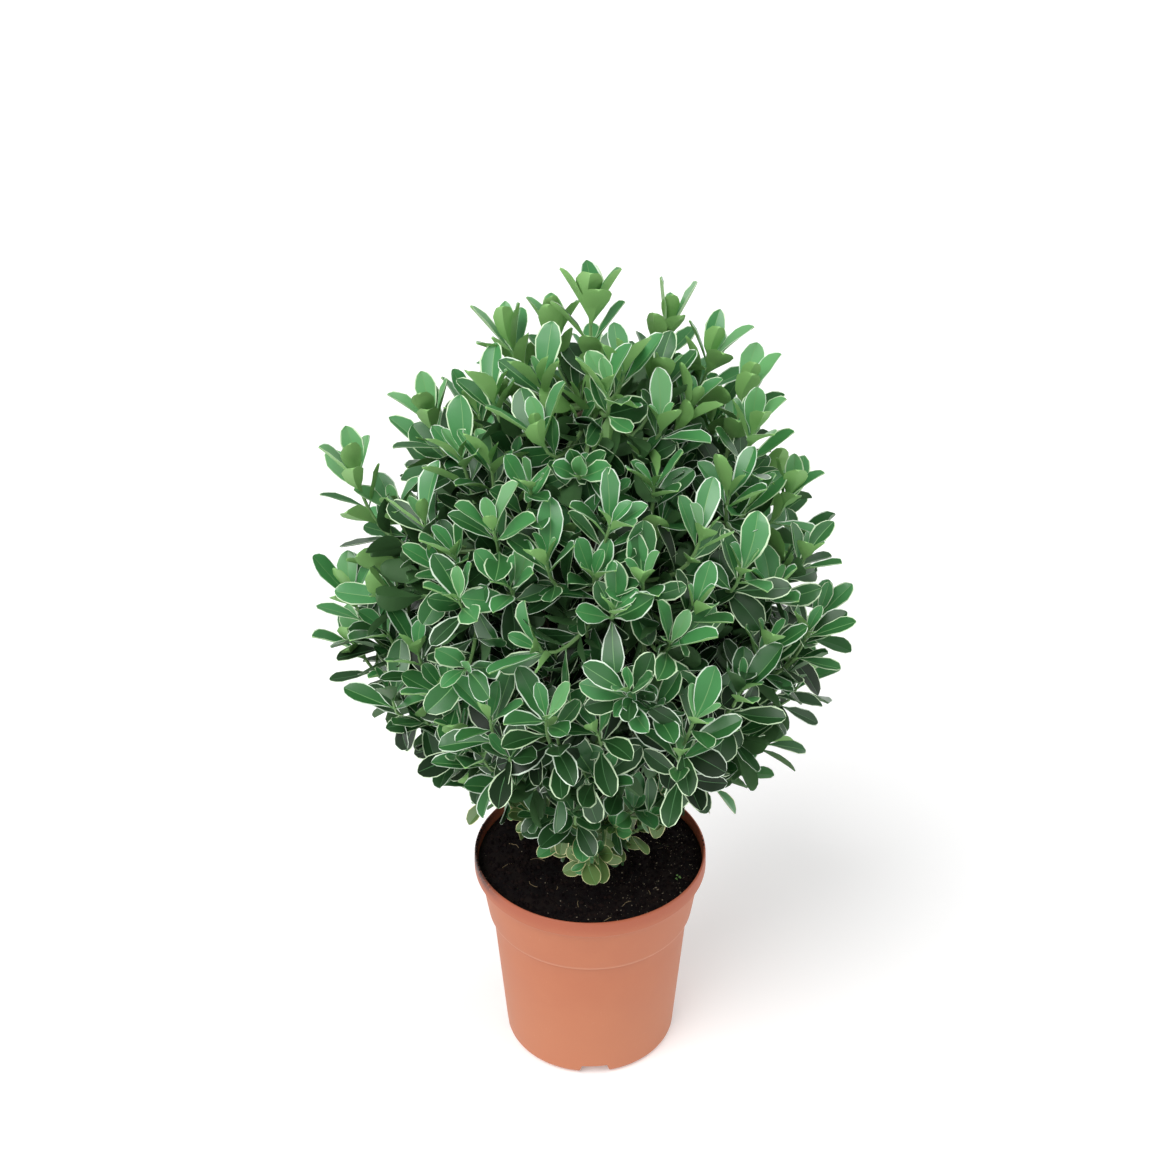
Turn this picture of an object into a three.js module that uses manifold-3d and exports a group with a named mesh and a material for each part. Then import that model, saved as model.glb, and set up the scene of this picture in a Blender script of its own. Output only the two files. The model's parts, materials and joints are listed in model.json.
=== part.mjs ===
// A potted Japanese spindle: a bushy evergreen shrub with cream-edged leaves in a terracotta-coloured pot.
// Millimetres, +Z up. The origin is the middle of the pot's flat underside, and the front is towards -Y.
import * as THREE from 'three';
import { mergeVertices } from 'three/addons/utils/BufferGeometryUtils.js';
import Module from 'manifold-3d';

const wasm = await Module();
wasm.setup();

// Pot: round, 19 cm across its rim, with a lip, a collar, a step and a tapering wall
const ROUND_STEPS = 36;
const POT_HEIGHT = 185.8;
const LIP_RADIUS = 94.4;
const LIP_HEIGHT = 14.3;
const LIP_TAPER = 0.6;
const LIP_ROUNDING = 1;
const LIP_TOP_WIDTH = 0.7;
const LIP_STEP = 1.2;
const MOUTH_RADIUS = 92.2;
const MOUTH_TAPER = 0.06;
const COLLAR_RADIUS = 90.3;
const COLLAR_HEIGHT = 42.5;
const COLLAR_TAPER = 6.5;
const STEP_WIDTH = 3.5;
const STEP_HEIGHT = 3;
const FOOT_RADIUS = 70.3;
const FOOT_ROUNDING = 7.2;
const WALL = 2;
const FLOOR = 12;
const FLOOR_ROUNDING = 2;
const FIT_GAP = 0.3;

// Drainage: four channels under the floor, open at the foot as tall notches, each with one hole.
// The pot stands turned a little, so the front channel lies just right of the middle.
const CHANNELS = 4;
const CHANNEL_TURN = THREE.MathUtils.degToRad(3);
const CHANNEL_WIDTH = 27;
const CHANNEL_TOP_WIDTH = 21;
const CHANNEL_DEPTH = 10;
const CHANNEL_START = 22;
const DRAIN_RADIUS = 4.5;
const DRAIN_PLACE = 46;
const DRAIN_SIDES = 10;
const CUT_MARGIN = 1;

// Compost: nearly level, a little below the rim, with shallow swells away from the trunk
const COMPOST_GAP = 0.4;
const SOIL_LEVEL = 178;
const SOIL_EDGE_DROP = 2;
const SOIL_SHOULDER_RADIUS = 62;
const SOIL_FLAT_RADIUS = 24;
const SOIL_SWELL = 1.6;
const SWELL_WIDTH = 13;
const SWELL_DEPTH = 17;
const RIPPLE_WIDTH = 8;
const RIPPLE_SHARE = 0.6;

// Trunk: short, leaning a little, flared at the soil and cut level there
const TRUNK_HEIGHT = 150;
const TRUNK_FOOT_RADIUS = 11.5;
const TRUNK_TIP_RADIUS = 6.5;
const TRUNK_LEAN = new THREE.Vector2(5, -4);
// Points of its middle line, as shares of the lean along X and Y and of the height
const TRUNK_LINE = [[0, 0, 0], [0.6, 0.4, 0.35], [1, 1, 0.7], [0.7, 0.8, 1]];
const TRUNK_STEPS = 9;
const FLARE_HEIGHT = 22;
const FLARE_WIDTH = 0.55;
const FLARE_LOBES = 5;
const FLARE_LOBE_DEPTH = 0.4;

// Boughs: one to each mass of foliage, tapering
const BOUGH_FOOT_RADIUS = 4.6;
const BOUGH_TIP_RADIUS = 3.2;
const BOUGH_SIDES = 6;
const BOUGH_STEPS = 3;
const FORK_STEP = 5;
const LIMB_MARKS = 50;

// Crown: the skin that the leaf tips reach, egg-shaped, from the soil to its top
const CROWN_HEIGHT = 525;
const CROWN_RADIUS = 193;
const WIDEST_HEIGHT = 242;
const FOOT_NARROWING = 0.82;
const FOOT_CURVE = 1.35;
const TOP_CURVE = 1.6;
const TOP_ROUNDNESS = 0.62;
const CROWN_START = 36;
const SKIN_STEPS = 240;
const SLOPE_REACH = 4;

// Masses of foliage: rings round the trunk and one on top, with the core, fork and curve of each one's bough
const RINGS = [
  {
    name: 'lower', count: 4, height: 88, radius: 46, turn: -88,
    core: 12, fork: 36, spread: 0.45, rise: 0.4,
  },
  {
    name: 'middle', count: 6, height: 204, radius: 100, turn: -100,
    core: 24, fork: 74, spread: 0.38, rise: 0.55,
  },
  {
    name: 'upper', count: 5, height: 326, radius: 90, turn: -76,
    core: 25, fork: 112, spread: 0.55, rise: 0.3,
  },
  {
    name: 'top', count: 1, height: 424, radius: 8, turn: -60,
    core: 25, fork: 146, spread: 0.3, rise: 0.5,
  },
];
const CORE_CLEARANCE = 7;
const CORE_COVER = 0.7;
const CELL_GAP = 0.2;
const STEM_STEPS = 2;

// Shoots: evenly spread tips, and a few taller ones that stand out of the skin
const SHOOTS = 138;
const SHOOT_BENDS = [1, 0.5, 0, -0.5];
const SHOOT_RADIUS = 2.5;
const SHOOT_TIP_RADIUS = 1.8;
const SHOOT_SIDES = 3;
const SHOOT_STEPS = 2;
const SHOOT_PROBES = 12;
const LIGHT_PULL = 0.46;
const SKIN_ROUGHNESS = 0.07;
const SKIN_INSET = 0.2;
const AZIMUTH_PLAY = 0.3;
const HEIGHT_PLAY = 10;
const LEADER_CLEARING = 36;
// Each leader's tip: its azimuth in degrees from +X, its height over the soil and its distance from the axis
const LEADERS = [
  [90, 524, 28], [152, 470, 86], [129, 480, 64], [39, 480, 95], [22, 455, 117], [8, 436, 137],
  [-8, 418, 141], [-2, 354, 170], [-6, 250, 200], [2, 151, 185], [168, 406, 143], [180, 368, 196],
  [185, 268, 206], [178, 188, 202], [-160, 80, 118], [-4, 74, 137], [-84, 34, 84],
];

// Leaves: obovate, larger than life, two close pairs at each tip and opposite pairs below
const LEAF_LENGTH = 57;
const LEAF_HALF_WIDTH = 0.235;
const LEAF_REACH = 0.88;
// Rim points, then the keel under the midrib: shares of the half width, the length and the lift
const LEAF_OUTLINE = [[0, 0, 0], [1, 0.6, 0.05], [0.45, 0.97, 0.01], [-0.45, 0.97, 0.01], [-1, 0.6, 0.05]];
const LEAF_KEEL = [0, 0.42, -0.012];
const LEAF_FACES = [0, 1, 4, 1, 2, 4, 2, 3, 4, 5, 1, 0, 5, 2, 1, 5, 3, 2, 5, 4, 3, 5, 0, 4];
const RIM = LEAF_OUTLINE.length;
const ROOT_SHARE = 0.12;
const CROSSING_REACH = 1.05;
const ROSETTE_SPREADS = [40, 50];
const ROSETTE_STEP = 5;
const PAIR_SPREAD = 62;
const PAIR_STEP = 25;
const SPREAD_PLAY = 14;
const LIGHT_TILT = 0.45;
// A leaf that doesn't fit is tried again with another turn round its shoot, and smaller
const LEAF_TRIES = [
  [0, 1], [0.3, 1], [-0.3, 1], [0, 0.85], [0.6, 0.85], [-0.6, 0.85], [0.3, 0.7], [-0.3, 0.7],
];
const LIMB_CLEARANCE = 2.2;
const POT_CLEARANCE = 2.5;
const SEED = 20261128;

// Colours
const TERRACOTTA = 0xc9805f;
const PEAT = 0x2a1f1a;
const BARK = 0x6b5f4a;
const GREENS = { lower: 0x4d7a4a, middle: 0x3f7a4e, upper: 0x4a8656, top: 0x579560 };

// Heights and distances that follow from these
const LIP_FOOT = POT_HEIGHT - LIP_HEIGHT;
const COLLAR_FOOT = LIP_FOOT - COLLAR_HEIGHT;
const COLLAR_FOOT_RADIUS = COLLAR_RADIUS - COLLAR_TAPER;
const STEP_FOOT = COLLAR_FOOT - STEP_HEIGHT;
const TRUNK_BASE = SOIL_LEVEL + FIT_GAP;

const UP = new THREE.Vector3(0, 0, 1);
const RADIANS = Math.PI / 180;
const FULL_TURN = 2 * Math.PI;
const GOLDEN_ANGLE = Math.PI * (3 - Math.sqrt(5));
const WELD_REACH = 1e-4;
const HAIR = 1e-3;
const SLIVER = 0.05;

// A repeatable stream of numbers from 0 to 1
function seeded(seed) {
  let state = seed >>> 0;
  return function next() {
    state = (state + 0x6d2b79f5) >>> 0;
    let mixed = state;
    mixed = Math.imul(mixed ^ (mixed >>> 15), mixed | 1);
    mixed ^= mixed + Math.imul(mixed ^ (mixed >>> 7), mixed | 61);
    return ((mixed ^ (mixed >>> 14)) >>> 0) / 4294967296;
  };
}

// Solids and geometries

function toSolid(geometry) {
  const plain = geometry.clone();
  plain.deleteAttribute('normal');
  plain.deleteAttribute('uv');
  const merged = mergeVertices(plain, WELD_REACH);
  const mesh = new wasm.Mesh({
    numProp: 3,
    vertProperties: new Float32Array(merged.attributes.position.array),
    triVerts: new Uint32Array(merged.index.array),
  });
  return new wasm.Manifold(mesh);
}

function toGeometry(solid) {
  const { vertProperties, triVerts } = solid.getMesh();
  const geometry = new THREE.BufferGeometry();
  geometry.setAttribute('position', new THREE.BufferAttribute(vertProperties, 3));
  geometry.setIndex(new THREE.BufferAttribute(triVerts, 1));
  return geometry;
}

// The one main body of a solid, with slivers, loose scraps and sealed hollows gone
function mainBody(solid) {
  const bodies = solid.simplify(SLIVER).decompose();
  bodies.sort((a, b) => b.volume() - a.volume());
  return bodies[0];
}

// Solids joined two by two, then the pairs, until one is left
function joinAll(solids) {
  let level = solids;
  while (level.length > 1) {
    const next = [];
    for (let i = 0; i < level.length; i += 2) {
      next.push(i + 1 < level.length ? level[i].add(level[i + 1]) : level[i]);
    }
    level = next;
  }
  return level[0];
}

// Whether each edge joins just two faces once points closer than a hair are one point
function edgesAreClean(geometry) {
  const { position } = geometry.attributes;
  const { array } = geometry.index;
  const uses = new Map();
  const place = (vertex) => {
    const point = [position.getX(vertex), position.getY(vertex), position.getZ(vertex)];
    return point.map((value) => Math.round(value / HAIR)).join(' ');
  };
  for (let i = 0; i < array.length; i += 3) {
    const face = [place(array[i]), place(array[i + 1]), place(array[i + 2])];
    if (new Set(face).size < 3) {
      continue;
    }
    for (let side = 0; side < 3; side += 1) {
      const key = [face[side], face[(side + 1) % 3]].sort().join(' to ');
      uses.set(key, (uses.get(key) ?? 0) + 1);
    }
  }
  return [...uses.values()].every((count) => count === 2);
}

// Twigs and leaves fused into one body, without a leaf that would leave an unclean edge
function joinMass(limbs, leaves) {
  for (let left = leaves.length; left >= 0; left -= 1) {
    const kept = leaves.filter((leaf, index) => index !== left);
    const geometry = toGeometry(mainBody(joinAll([...limbs, ...kept])));
    if (edgesAreClean(geometry)) {
      return geometry;
    }
  }
  throw new Error('a mass has an unclean edge that no single leaf causes');
}

// A closed tube through rings of points, capped flat at both ends
function loft(rings) {
  const sides = rings[0].length;
  const faces = [];
  for (let ring = 0; ring + 1 < rings.length; ring += 1) {
    for (let side = 0; side < sides; side += 1) {
      const a = ring * sides + side;
      const b = ring * sides + ((side + 1) % sides);
      faces.push(a, b, b + sides, a, b + sides, a + sides);
    }
  }
  const last = (rings.length - 1) * sides;
  for (let side = 1; side + 1 < sides; side += 1) {
    faces.push(0, side + 1, side);
    faces.push(last, last + side, last + side + 1);
  }
  const geometry = new THREE.BufferGeometry().setFromPoints(rings.flat());
  geometry.setIndex(faces);
  return geometry;
}

// A tapering limb along part of a curve, from one share of its length to another
function limb(curve, from, to, radiusAt, sides, steps) {
  const rings = [];
  const reference = limbReference(curve);
  for (let step = 0; step <= steps; step += 1) {
    const share = from + ((to - from) * step) / steps;
    const centre = curve.getPointAt(share);
    const along = curve.getTangentAt(share).normalize();
    const side = reference.clone().addScaledVector(along, -reference.dot(along)).normalize();
    const across = along.clone().cross(side);
    const ring = [];
    for (let i = 0; i < sides; i += 1) {
      const angle = (FULL_TURN * i) / sides;
      const radius = radiusAt(step / steps, angle);
      const point = centre.clone().addScaledVector(side, radius * Math.cos(angle));
      ring.push(point.addScaledVector(across, radius * Math.sin(angle)));
    }
    rings.push(ring);
  }
  return loft(rings);
}

// A direction square to a curve's bend, or to the curve where it is almost straight
function limbReference(curve) {
  const start = curve.getTangentAt(0);
  const bend = start.clone().cross(curve.getTangentAt(1));
  if (bend.length() > 0.02) {
    return bend.normalize();
  }
  const other = Math.abs(start.x) < 0.8 ? new THREE.Vector3(1, 0, 0) : new THREE.Vector3(0, 1, 0);
  return start.clone().cross(other).normalize();
}

function taper(from, to) {
  return (share) => from + (to - from) * share;
}

// Pot and compost

// The wall's outer radius, under the step and on the collar
function wallRadius(height) {
  if (height >= COLLAR_FOOT) {
    return COLLAR_FOOT_RADIUS + (COLLAR_TAPER * (height - COLLAR_FOOT)) / COLLAR_HEIGHT;
  }
  const widening = COLLAR_FOOT_RADIUS - STEP_WIDTH - FOOT_RADIUS;
  return FOOT_RADIUS + (widening * (height - FOOT_ROUNDING)) / (STEP_FOOT - FOOT_ROUNDING);
}

function insideRadius(height) {
  if (height > LIP_FOOT) {
    return MOUTH_RADIUS - (POT_HEIGHT - height) * MOUTH_TAPER;
  }
  return wallRadius(height) - WALL;
}

// Heights, from the floor up, where the inside of the wall changes its slope
function insideHeights() {
  return [FLOOR + FLOOR_ROUNDING, STEP_FOOT, COLLAR_FOOT, LIP_FOOT - LIP_STEP];
}

function potOutside() {
  const outline = new THREE.Path();
  outline.moveTo(0, 0);
  outline.lineTo(FOOT_RADIUS - FOOT_ROUNDING, 0);
  outline.absarc(FOOT_RADIUS - FOOT_ROUNDING, FOOT_ROUNDING, FOOT_ROUNDING, -Math.PI / 2, 0);
  outline.lineTo(wallRadius(STEP_FOOT), STEP_FOOT);
  outline.lineTo(wallRadius(COLLAR_FOOT), COLLAR_FOOT);
  outline.lineTo(COLLAR_RADIUS, LIP_FOOT);
  outline.lineTo(LIP_RADIUS, LIP_FOOT + LIP_ROUNDING);
  outline.lineTo(LIP_RADIUS - LIP_TAPER, POT_HEIGHT - LIP_ROUNDING);
  outline.lineTo(MOUTH_RADIUS + LIP_TOP_WIDTH, POT_HEIGHT);
  return outline.getPoints(3);
}

function potInside() {
  const lipStepTop = LIP_FOOT + LIP_STEP;
  return [
    new THREE.Vector2(0, FLOOR),
    new THREE.Vector2(insideRadius(FLOOR) - FLOOR_ROUNDING, FLOOR),
    ...insideHeights().map((height) => new THREE.Vector2(insideRadius(height), height)),
    new THREE.Vector2(insideRadius(lipStepTop), lipStepTop),
    new THREE.Vector2(MOUTH_RADIUS, POT_HEIGHT - LIP_TAPER),
  ];
}

function channelTurn(index) {
  return CHANNEL_TURN + (FULL_TURN * index) / CHANNELS;
}

// A drainage channel, cut in from the wall towards the middle
function channel(index) {
  const spread = (CUT_MARGIN * (CHANNEL_WIDTH - CHANNEL_TOP_WIDTH)) / (2 * CHANNEL_DEPTH);
  const shape = new THREE.Shape();
  shape.moveTo(-CHANNEL_WIDTH / 2 - spread, -CUT_MARGIN);
  shape.lineTo(CHANNEL_WIDTH / 2 + spread, -CUT_MARGIN);
  shape.lineTo(CHANNEL_TOP_WIDTH / 2, CHANNEL_DEPTH);
  shape.lineTo(-CHANNEL_TOP_WIDTH / 2, CHANNEL_DEPTH);
  shape.closePath();
  const length = FOOT_RADIUS + CHANNEL_DEPTH - CHANNEL_START;
  const geometry = new THREE.ExtrudeGeometry(shape, { depth: length, bevelEnabled: false });
  geometry.rotateX(Math.PI / 2);
  geometry.translate(0, -CHANNEL_START, 0);
  geometry.rotateZ(channelTurn(index));
  return toSolid(geometry);
}

function drain(index) {
  const geometry = new THREE.CylinderGeometry(DRAIN_RADIUS, DRAIN_RADIUS, 4 * FLOOR, DRAIN_SIDES);
  geometry.rotateX(Math.PI / 2);
  geometry.translate(0, -DRAIN_PLACE, 0);
  geometry.rotateZ(channelTurn(index));
  return toSolid(geometry);
}

// A lathe turned to stand on +Z
function turned(profile) {
  const geometry = new THREE.LatheGeometry(profile, ROUND_STEPS);
  geometry.rotateX(Math.PI / 2);
  return geometry;
}

function pot() {
  let solid = toSolid(turned([...potOutside(), ...potInside().reverse()]));
  for (let i = 0; i < CHANNELS; i += 1) {
    solid = solid.subtract(channel(i)).subtract(drain(i));
  }
  return toGeometry(mainBody(solid));
}

function soilSwell(x, y) {
  const swell = Math.sin(x / SWELL_WIDTH + 1) * Math.cos(y / SWELL_DEPTH);
  return SOIL_SWELL * (swell + RIPPLE_SHARE * Math.sin(y / RIPPLE_WIDTH - x / SWELL_DEPTH));
}

function compost() {
  const bottom = FLOOR + FIT_GAP;
  const inside = (height) => new THREE.Vector2(insideRadius(height) - COMPOST_GAP, height);
  const geometry = turned([
    new THREE.Vector2(0, bottom),
    new THREE.Vector2(insideRadius(FLOOR) - FLOOR_ROUNDING - COMPOST_GAP, bottom),
    ...insideHeights().map(inside),
    inside(LIP_FOOT + LIP_STEP + COMPOST_GAP),
    inside(SOIL_LEVEL - SOIL_EDGE_DROP),
    new THREE.Vector2(SOIL_SHOULDER_RADIUS, SOIL_LEVEL),
    new THREE.Vector2(SOIL_FLAT_RADIUS, SOIL_LEVEL),
    new THREE.Vector2(0, SOIL_LEVEL),
  ]);
  const { position } = geometry.attributes;
  for (let i = 0; i < position.count; i += 1) {
    const x = position.getX(i);
    const y = position.getY(i);
    const z = position.getZ(i);
    if (z > SOIL_LEVEL - FIT_GAP && Math.hypot(x, y) > SOIL_FLAT_RADIUS + 1) {
      position.setZ(i, z + soilSwell(x, y));
    }
  }
  return toGeometry(toSolid(geometry));
}

// Trunk and boughs

function trunkCurve() {
  return new THREE.CatmullRomCurve3(
    TRUNK_LINE.map(([x, y, height]) =>
      new THREE.Vector3(TRUNK_LEAN.x * x, TRUNK_LEAN.y * y, TRUNK_BASE + TRUNK_HEIGHT * height),
    ),
  );
}

// The trunk's radius, tapering, with a lobed flare at its foot
function trunkRadius(growth) {
  return (share, angle) => {
    const straight = TRUNK_FOOT_RADIUS + (TRUNK_TIP_RADIUS - TRUNK_FOOT_RADIUS) * share;
    const low = Math.max(0, 1 - (share * TRUNK_HEIGHT) / FLARE_HEIGHT);
    const lobes = 1 - FLARE_LOBE_DEPTH + FLARE_LOBE_DEPTH * Math.cos(FLARE_LOBES * angle);
    return straight * (1 + FLARE_WIDTH * low * low * lobes) + growth;
  };
}

// The trunk, grown outwards by a margin, with its foot cut level at the soil
function trunkSolid(growth) {
  const sides = 2 * FLARE_LOBES;
  const geometry = limb(trunkCurve(), 0, 1, trunkRadius(growth), sides, TRUNK_STEPS);
  for (let i = 0; i < sides; i += 1) {
    geometry.attributes.position.setZ(i, TRUNK_BASE);
  }
  return toSolid(geometry);
}

// A bough's curve, from its fork on the trunk's middle line to the middle of its mass
function boughCurve(mass) {
  const start = trunkCurve().getPointAt(mass.fork / TRUNK_HEIGHT);
  const reach = mass.centre.clone().sub(start);
  const control = start.clone().addScaledVector(reach, mass.spread);
  control.z = start.z + reach.z * mass.rise;
  return new THREE.QuadraticBezierCurve3(start, control, mass.centre);
}

// The share of a bough's curve where the bough ends and its mass's stem begins
function boughEnd(mass, curve) {
  return 1 - (mass.core + CORE_CLEARANCE) / curve.getLength();
}

// A bough, grown outwards by a margin
function boughSolid(mass, growth) {
  const curve = boughCurve(mass);
  const radius = taper(BOUGH_FOOT_RADIUS + growth, BOUGH_TIP_RADIUS + growth);
  return toSolid(limb(curve, 0, boughEnd(mass, curve), radius, BOUGH_SIDES, BOUGH_STEPS));
}

// Points along the middle of each limb, with the limb's radius there
function limbMarks(masses) {
  const marks = [];
  const mark = (curve, end, radiusAt) => {
    for (let i = 0; i <= LIMB_MARKS; i += 1) {
      const share = i / LIMB_MARKS;
      marks.push({ point: curve.getPointAt(share * end), radius: radiusAt(share, 0) });
    }
  };
  mark(trunkCurve(), 1, trunkRadius(0));
  for (const mass of masses) {
    const curve = boughCurve(mass);
    mark(curve, boughEnd(mass, curve), taper(BOUGH_FOOT_RADIUS, BOUGH_TIP_RADIUS));
  }
  return marks;
}

// Crown skin and shoot tips

function crownRadius(height) {
  if (height < WIDEST_HEIGHT) {
    const down = (WIDEST_HEIGHT - height) / WIDEST_HEIGHT;
    return CROWN_RADIUS * (1 - FOOT_NARROWING * down ** FOOT_CURVE);
  }
  const up = Math.min(1, (height - WIDEST_HEIGHT) / (CROWN_HEIGHT - WIDEST_HEIGHT));
  return CROWN_RADIUS * (1 - up ** TOP_CURVE) ** TOP_ROUNDNESS;
}

function skinPoint(azimuth, height, radius) {
  return new THREE.Vector3(radius * Math.cos(azimuth), radius * Math.sin(azimuth), SOIL_LEVEL + height);
}

// The way straight out of the skin
function outward(azimuth, height) {
  const middle = Math.min(height, CROWN_HEIGHT - 2 * SLOPE_REACH);
  const slope = (crownRadius(middle + SLOPE_REACH) - crownRadius(middle - SLOPE_REACH)) / (2 * SLOPE_REACH);
  const out = 1 / Math.hypot(1, slope);
  return new THREE.Vector3(out * Math.cos(azimuth), out * Math.sin(azimuth), -slope * out);
}

// A shoot's end, inside the skin by the reach of its last leaves, and its direction, turned up to the light
function shootTip(azimuth, height, radius) {
  const out = outward(azimuth, height);
  const end = skinPoint(azimuth, height, radius).addScaledVector(out, -LEAF_LENGTH * LEAF_REACH);
  const direction = out.multiplyScalar(1 - LIGHT_PULL).addScaledVector(UP, LIGHT_PULL).normalize();
  return { direction, end };
}

// Heights up the skin, with the skin's area below each
function skinSteps() {
  const steps = [{ height: CROWN_START, area: 0 }];
  for (let i = 1; i <= SKIN_STEPS; i += 1) {
    const height = CROWN_START + ((CROWN_HEIGHT - CROWN_START) * i) / SKIN_STEPS;
    const below = steps.at(-1);
    const [low, high] = [crownRadius(below.height), crownRadius(height)];
    const area = below.area + (low + high) * Math.hypot(height - below.height, high - low);
    steps.push({ height, area });
  }
  return steps;
}

// Shoot tips spread evenly over the skin by the golden angle, with the leaders among them
function shootTips(count) {
  const random = seeded(SEED);
  const leaders = LEADERS.map(([degrees, height, radius]) => shootTip(degrees * RADIANS, height, radius));
  const tips = [...leaders];
  const steps = skinSteps();
  for (let i = 0; i < count; i += 1) {
    const area = ((i + 0.5) / count) * steps.at(-1).area;
    const above = steps.findIndex((step) => step.area >= area);
    const middle = (steps[above - 1].height + steps[above].height) / 2;
    const azimuth = i * GOLDEN_ANGLE + (random() - 0.5) * AZIMUTH_PLAY;
    const height = middle + (random() - 0.5) * HEIGHT_PLAY;
    const radius = crownRadius(height) * (1 + (random() * 2 - 1 - SKIN_INSET) * SKIN_ROUGHNESS);
    const tip = shootTip(azimuth, height, radius);
    if (leaders.every((leader) => leader.end.distanceTo(tip.end) > LEADER_CLEARING)) {
      tips.push(tip);
    }
  }
  for (const tip of tips) {
    tip.turn = random() * Math.PI;
  }
  return tips;
}

// Masses of foliage

function foliageMasses() {
  const masses = [];
  for (const ring of RINGS) {
    for (let i = 0; i < ring.count; i += 1) {
      const azimuth = ring.turn * RADIANS + (FULL_TURN * i) / ring.count;
      masses.push({
        ...ring,
        ring: ring.name,
        name: ring.count === 1 ? ring.name : `${ring.name}_${i + 1}`,
        fork: ring.fork + ((2 * i) % ring.count) * FORK_STEP,
        centre: skinPoint(azimuth, ring.height, ring.radius),
      });
    }
  }
  return masses;
}

function nearestMass(point, masses) {
  return masses.reduce((best, mass) =>
    mass.centre.distanceTo(point) < best.centre.distanceTo(point) ? mass : best,
  );
}

// How far a point lies inside a mass's own space, which ends half-way to each neighbour
function roomInCell(point, mass, masses) {
  let room = Infinity;
  for (const other of masses) {
    if (other !== mass) {
      const away = other.centre.clone().sub(mass.centre);
      const middle = mass.centre.clone().add(other.centre).multiplyScalar(0.5);
      room = Math.min(room, middle.sub(point).dot(away) / away.length());
    }
  }
  return room;
}

function clearOfPot(point) {
  const radius = Math.hypot(point.x, point.y);
  if (radius < MOUTH_RADIUS - POT_CLEARANCE) {
    return point.z > TRUNK_BASE + 2 * SOIL_SWELL;
  }
  return point.z > POT_HEIGHT + POT_CLEARANCE;
}

// Whether something of a given radius at a point keeps to its mass's space and touches no limb or pot
function fits(point, radius, mass, masses, marks) {
  const clearance = radius + LIMB_CLEARANCE;
  return (
    roomInCell(point, mass, masses) > radius + CELL_GAP &&
    clearOfPot(point) &&
    marks.every((mark) => mark.point.distanceTo(point) > mark.radius + clearance)
  );
}

// Leaves

function leafPoints(root, along, face, length) {
  const across = along.clone().cross(face).normalize();
  return [...LEAF_OUTLINE, LEAF_KEEL].map(([side, forward, lift]) =>
    root
      .clone()
      .addScaledVector(across, side * LEAF_HALF_WIDTH * length)
      .addScaledVector(along, forward * length)
      .addScaledVector(face, lift * length),
  );
}

function leafGeometry(points) {
  const geometry = new THREE.BufferGeometry().setFromPoints(points);
  geometry.setIndex(LEAF_FACES);
  return geometry;
}

// A leaf's direction and the direction its upper face looks, at a turn round its shoot
function leafFrame(shootAlong, turn, spread, tilt) {
  const reference = Math.abs(shootAlong.z) < 0.95 ? UP : new THREE.Vector3(1, 0, 0);
  const first = reference.clone().cross(shootAlong).normalize();
  const second = shootAlong.clone().cross(first);
  const side = first.multiplyScalar(Math.cos(turn)).addScaledVector(second, Math.sin(turn));
  const along = shootAlong.clone().multiplyScalar(Math.cos(spread));
  along.addScaledVector(side, Math.sin(spread));
  const face = shootAlong.clone().multiplyScalar(Math.sin(spread));
  face.addScaledVector(side, -Math.cos(spread)).addScaledVector(UP, tilt);
  face.addScaledVector(along, -face.dot(along)).normalize();
  return { along, face };
}

// Points spread over a leaf, to test what it would touch
function leafProbes(points) {
  const keel = points[RIM];
  const probes = points.slice(1);
  for (let i = 0; i < RIM; i += 1) {
    const next = points[(i + 1) % RIM];
    probes.push(points[i].clone().lerp(next, 0.5), points[i].clone().lerp(keel, 0.5));
    probes.push(points[i].clone().add(next).add(keel).divideScalar(3));
  }
  return probes;
}

// The leaf's upper triangles and its rim and midrib, to test whether two leaves cross
function leafTriangles([root, right, rightTip, leftTip, left]) {
  return [[root, right, left], [right, rightTip, left], [rightTip, leftTip, left]];
}

function leafEdges([root, right, rightTip, leftTip, left]) {
  const tip = rightTip.clone().lerp(leftTip, 0.5);
  const fromRoot = (to) => [root.clone().lerp(to, ROOT_SHARE), to];
  const rim = [[right, rightTip], [rightTip, leftTip], [leftTip, left]];
  return [fromRoot(tip), fromRoot(right), fromRoot(left), ...rim];
}

function edgeCuts([from, to], [a, b, c]) {
  const ray = new THREE.Ray(from, to.clone().sub(from).normalize());
  const hit = ray.intersectTriangle(a, b, c, false, new THREE.Vector3());
  return hit !== null && hit.distanceTo(from) < from.distanceTo(to);
}

function leavesCross(one, other) {
  if (one[RIM].distanceTo(other[RIM]) > LEAF_LENGTH * CROSSING_REACH) {
    return false;
  }
  const cuts = (leaf, target) => {
    const triangles = leafTriangles(target);
    return leafEdges(leaf).some((edge) => triangles.some((triangle) => edgeCuts(edge, triangle)));
  };
  return cuts(one, other) || cuts(other, one);
}

// The first of a few tries at a leaf that fits its mass's space and crosses no other leaf
function growLeaf(root, shootAlong, bearing, leafFits, leaves) {
  for (const [twist, scale] of LEAF_TRIES) {
    const { along, face } = leafFrame(shootAlong, bearing.turn + twist, bearing.spread, bearing.tilt);
    const points = leafPoints(root, along, face, LEAF_LENGTH * scale);
    if (leafProbes(points).every(leafFits) && !leaves.some((other) => leavesCross(points, other))) {
      return points;
    }
  }
  return null;
}

// Shoots

// A shoot's curve from the middle of its mass, with less bend where its own space is tight
function shootCurve(start, tip, direction, twigFits) {
  const length = start.distanceTo(tip);
  for (const bend of SHOOT_BENDS) {
    const control = tip.clone().addScaledVector(direction, -0.5 * length);
    control.lerp(start.clone().lerp(tip, 0.5), 1 - bend);
    const curve = new THREE.QuadraticBezierCurve3(start, control, tip);
    if (curve.getSpacedPoints(SHOOT_PROBES).every(twigFits)) {
      return curve;
    }
  }
  return null;
}

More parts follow.
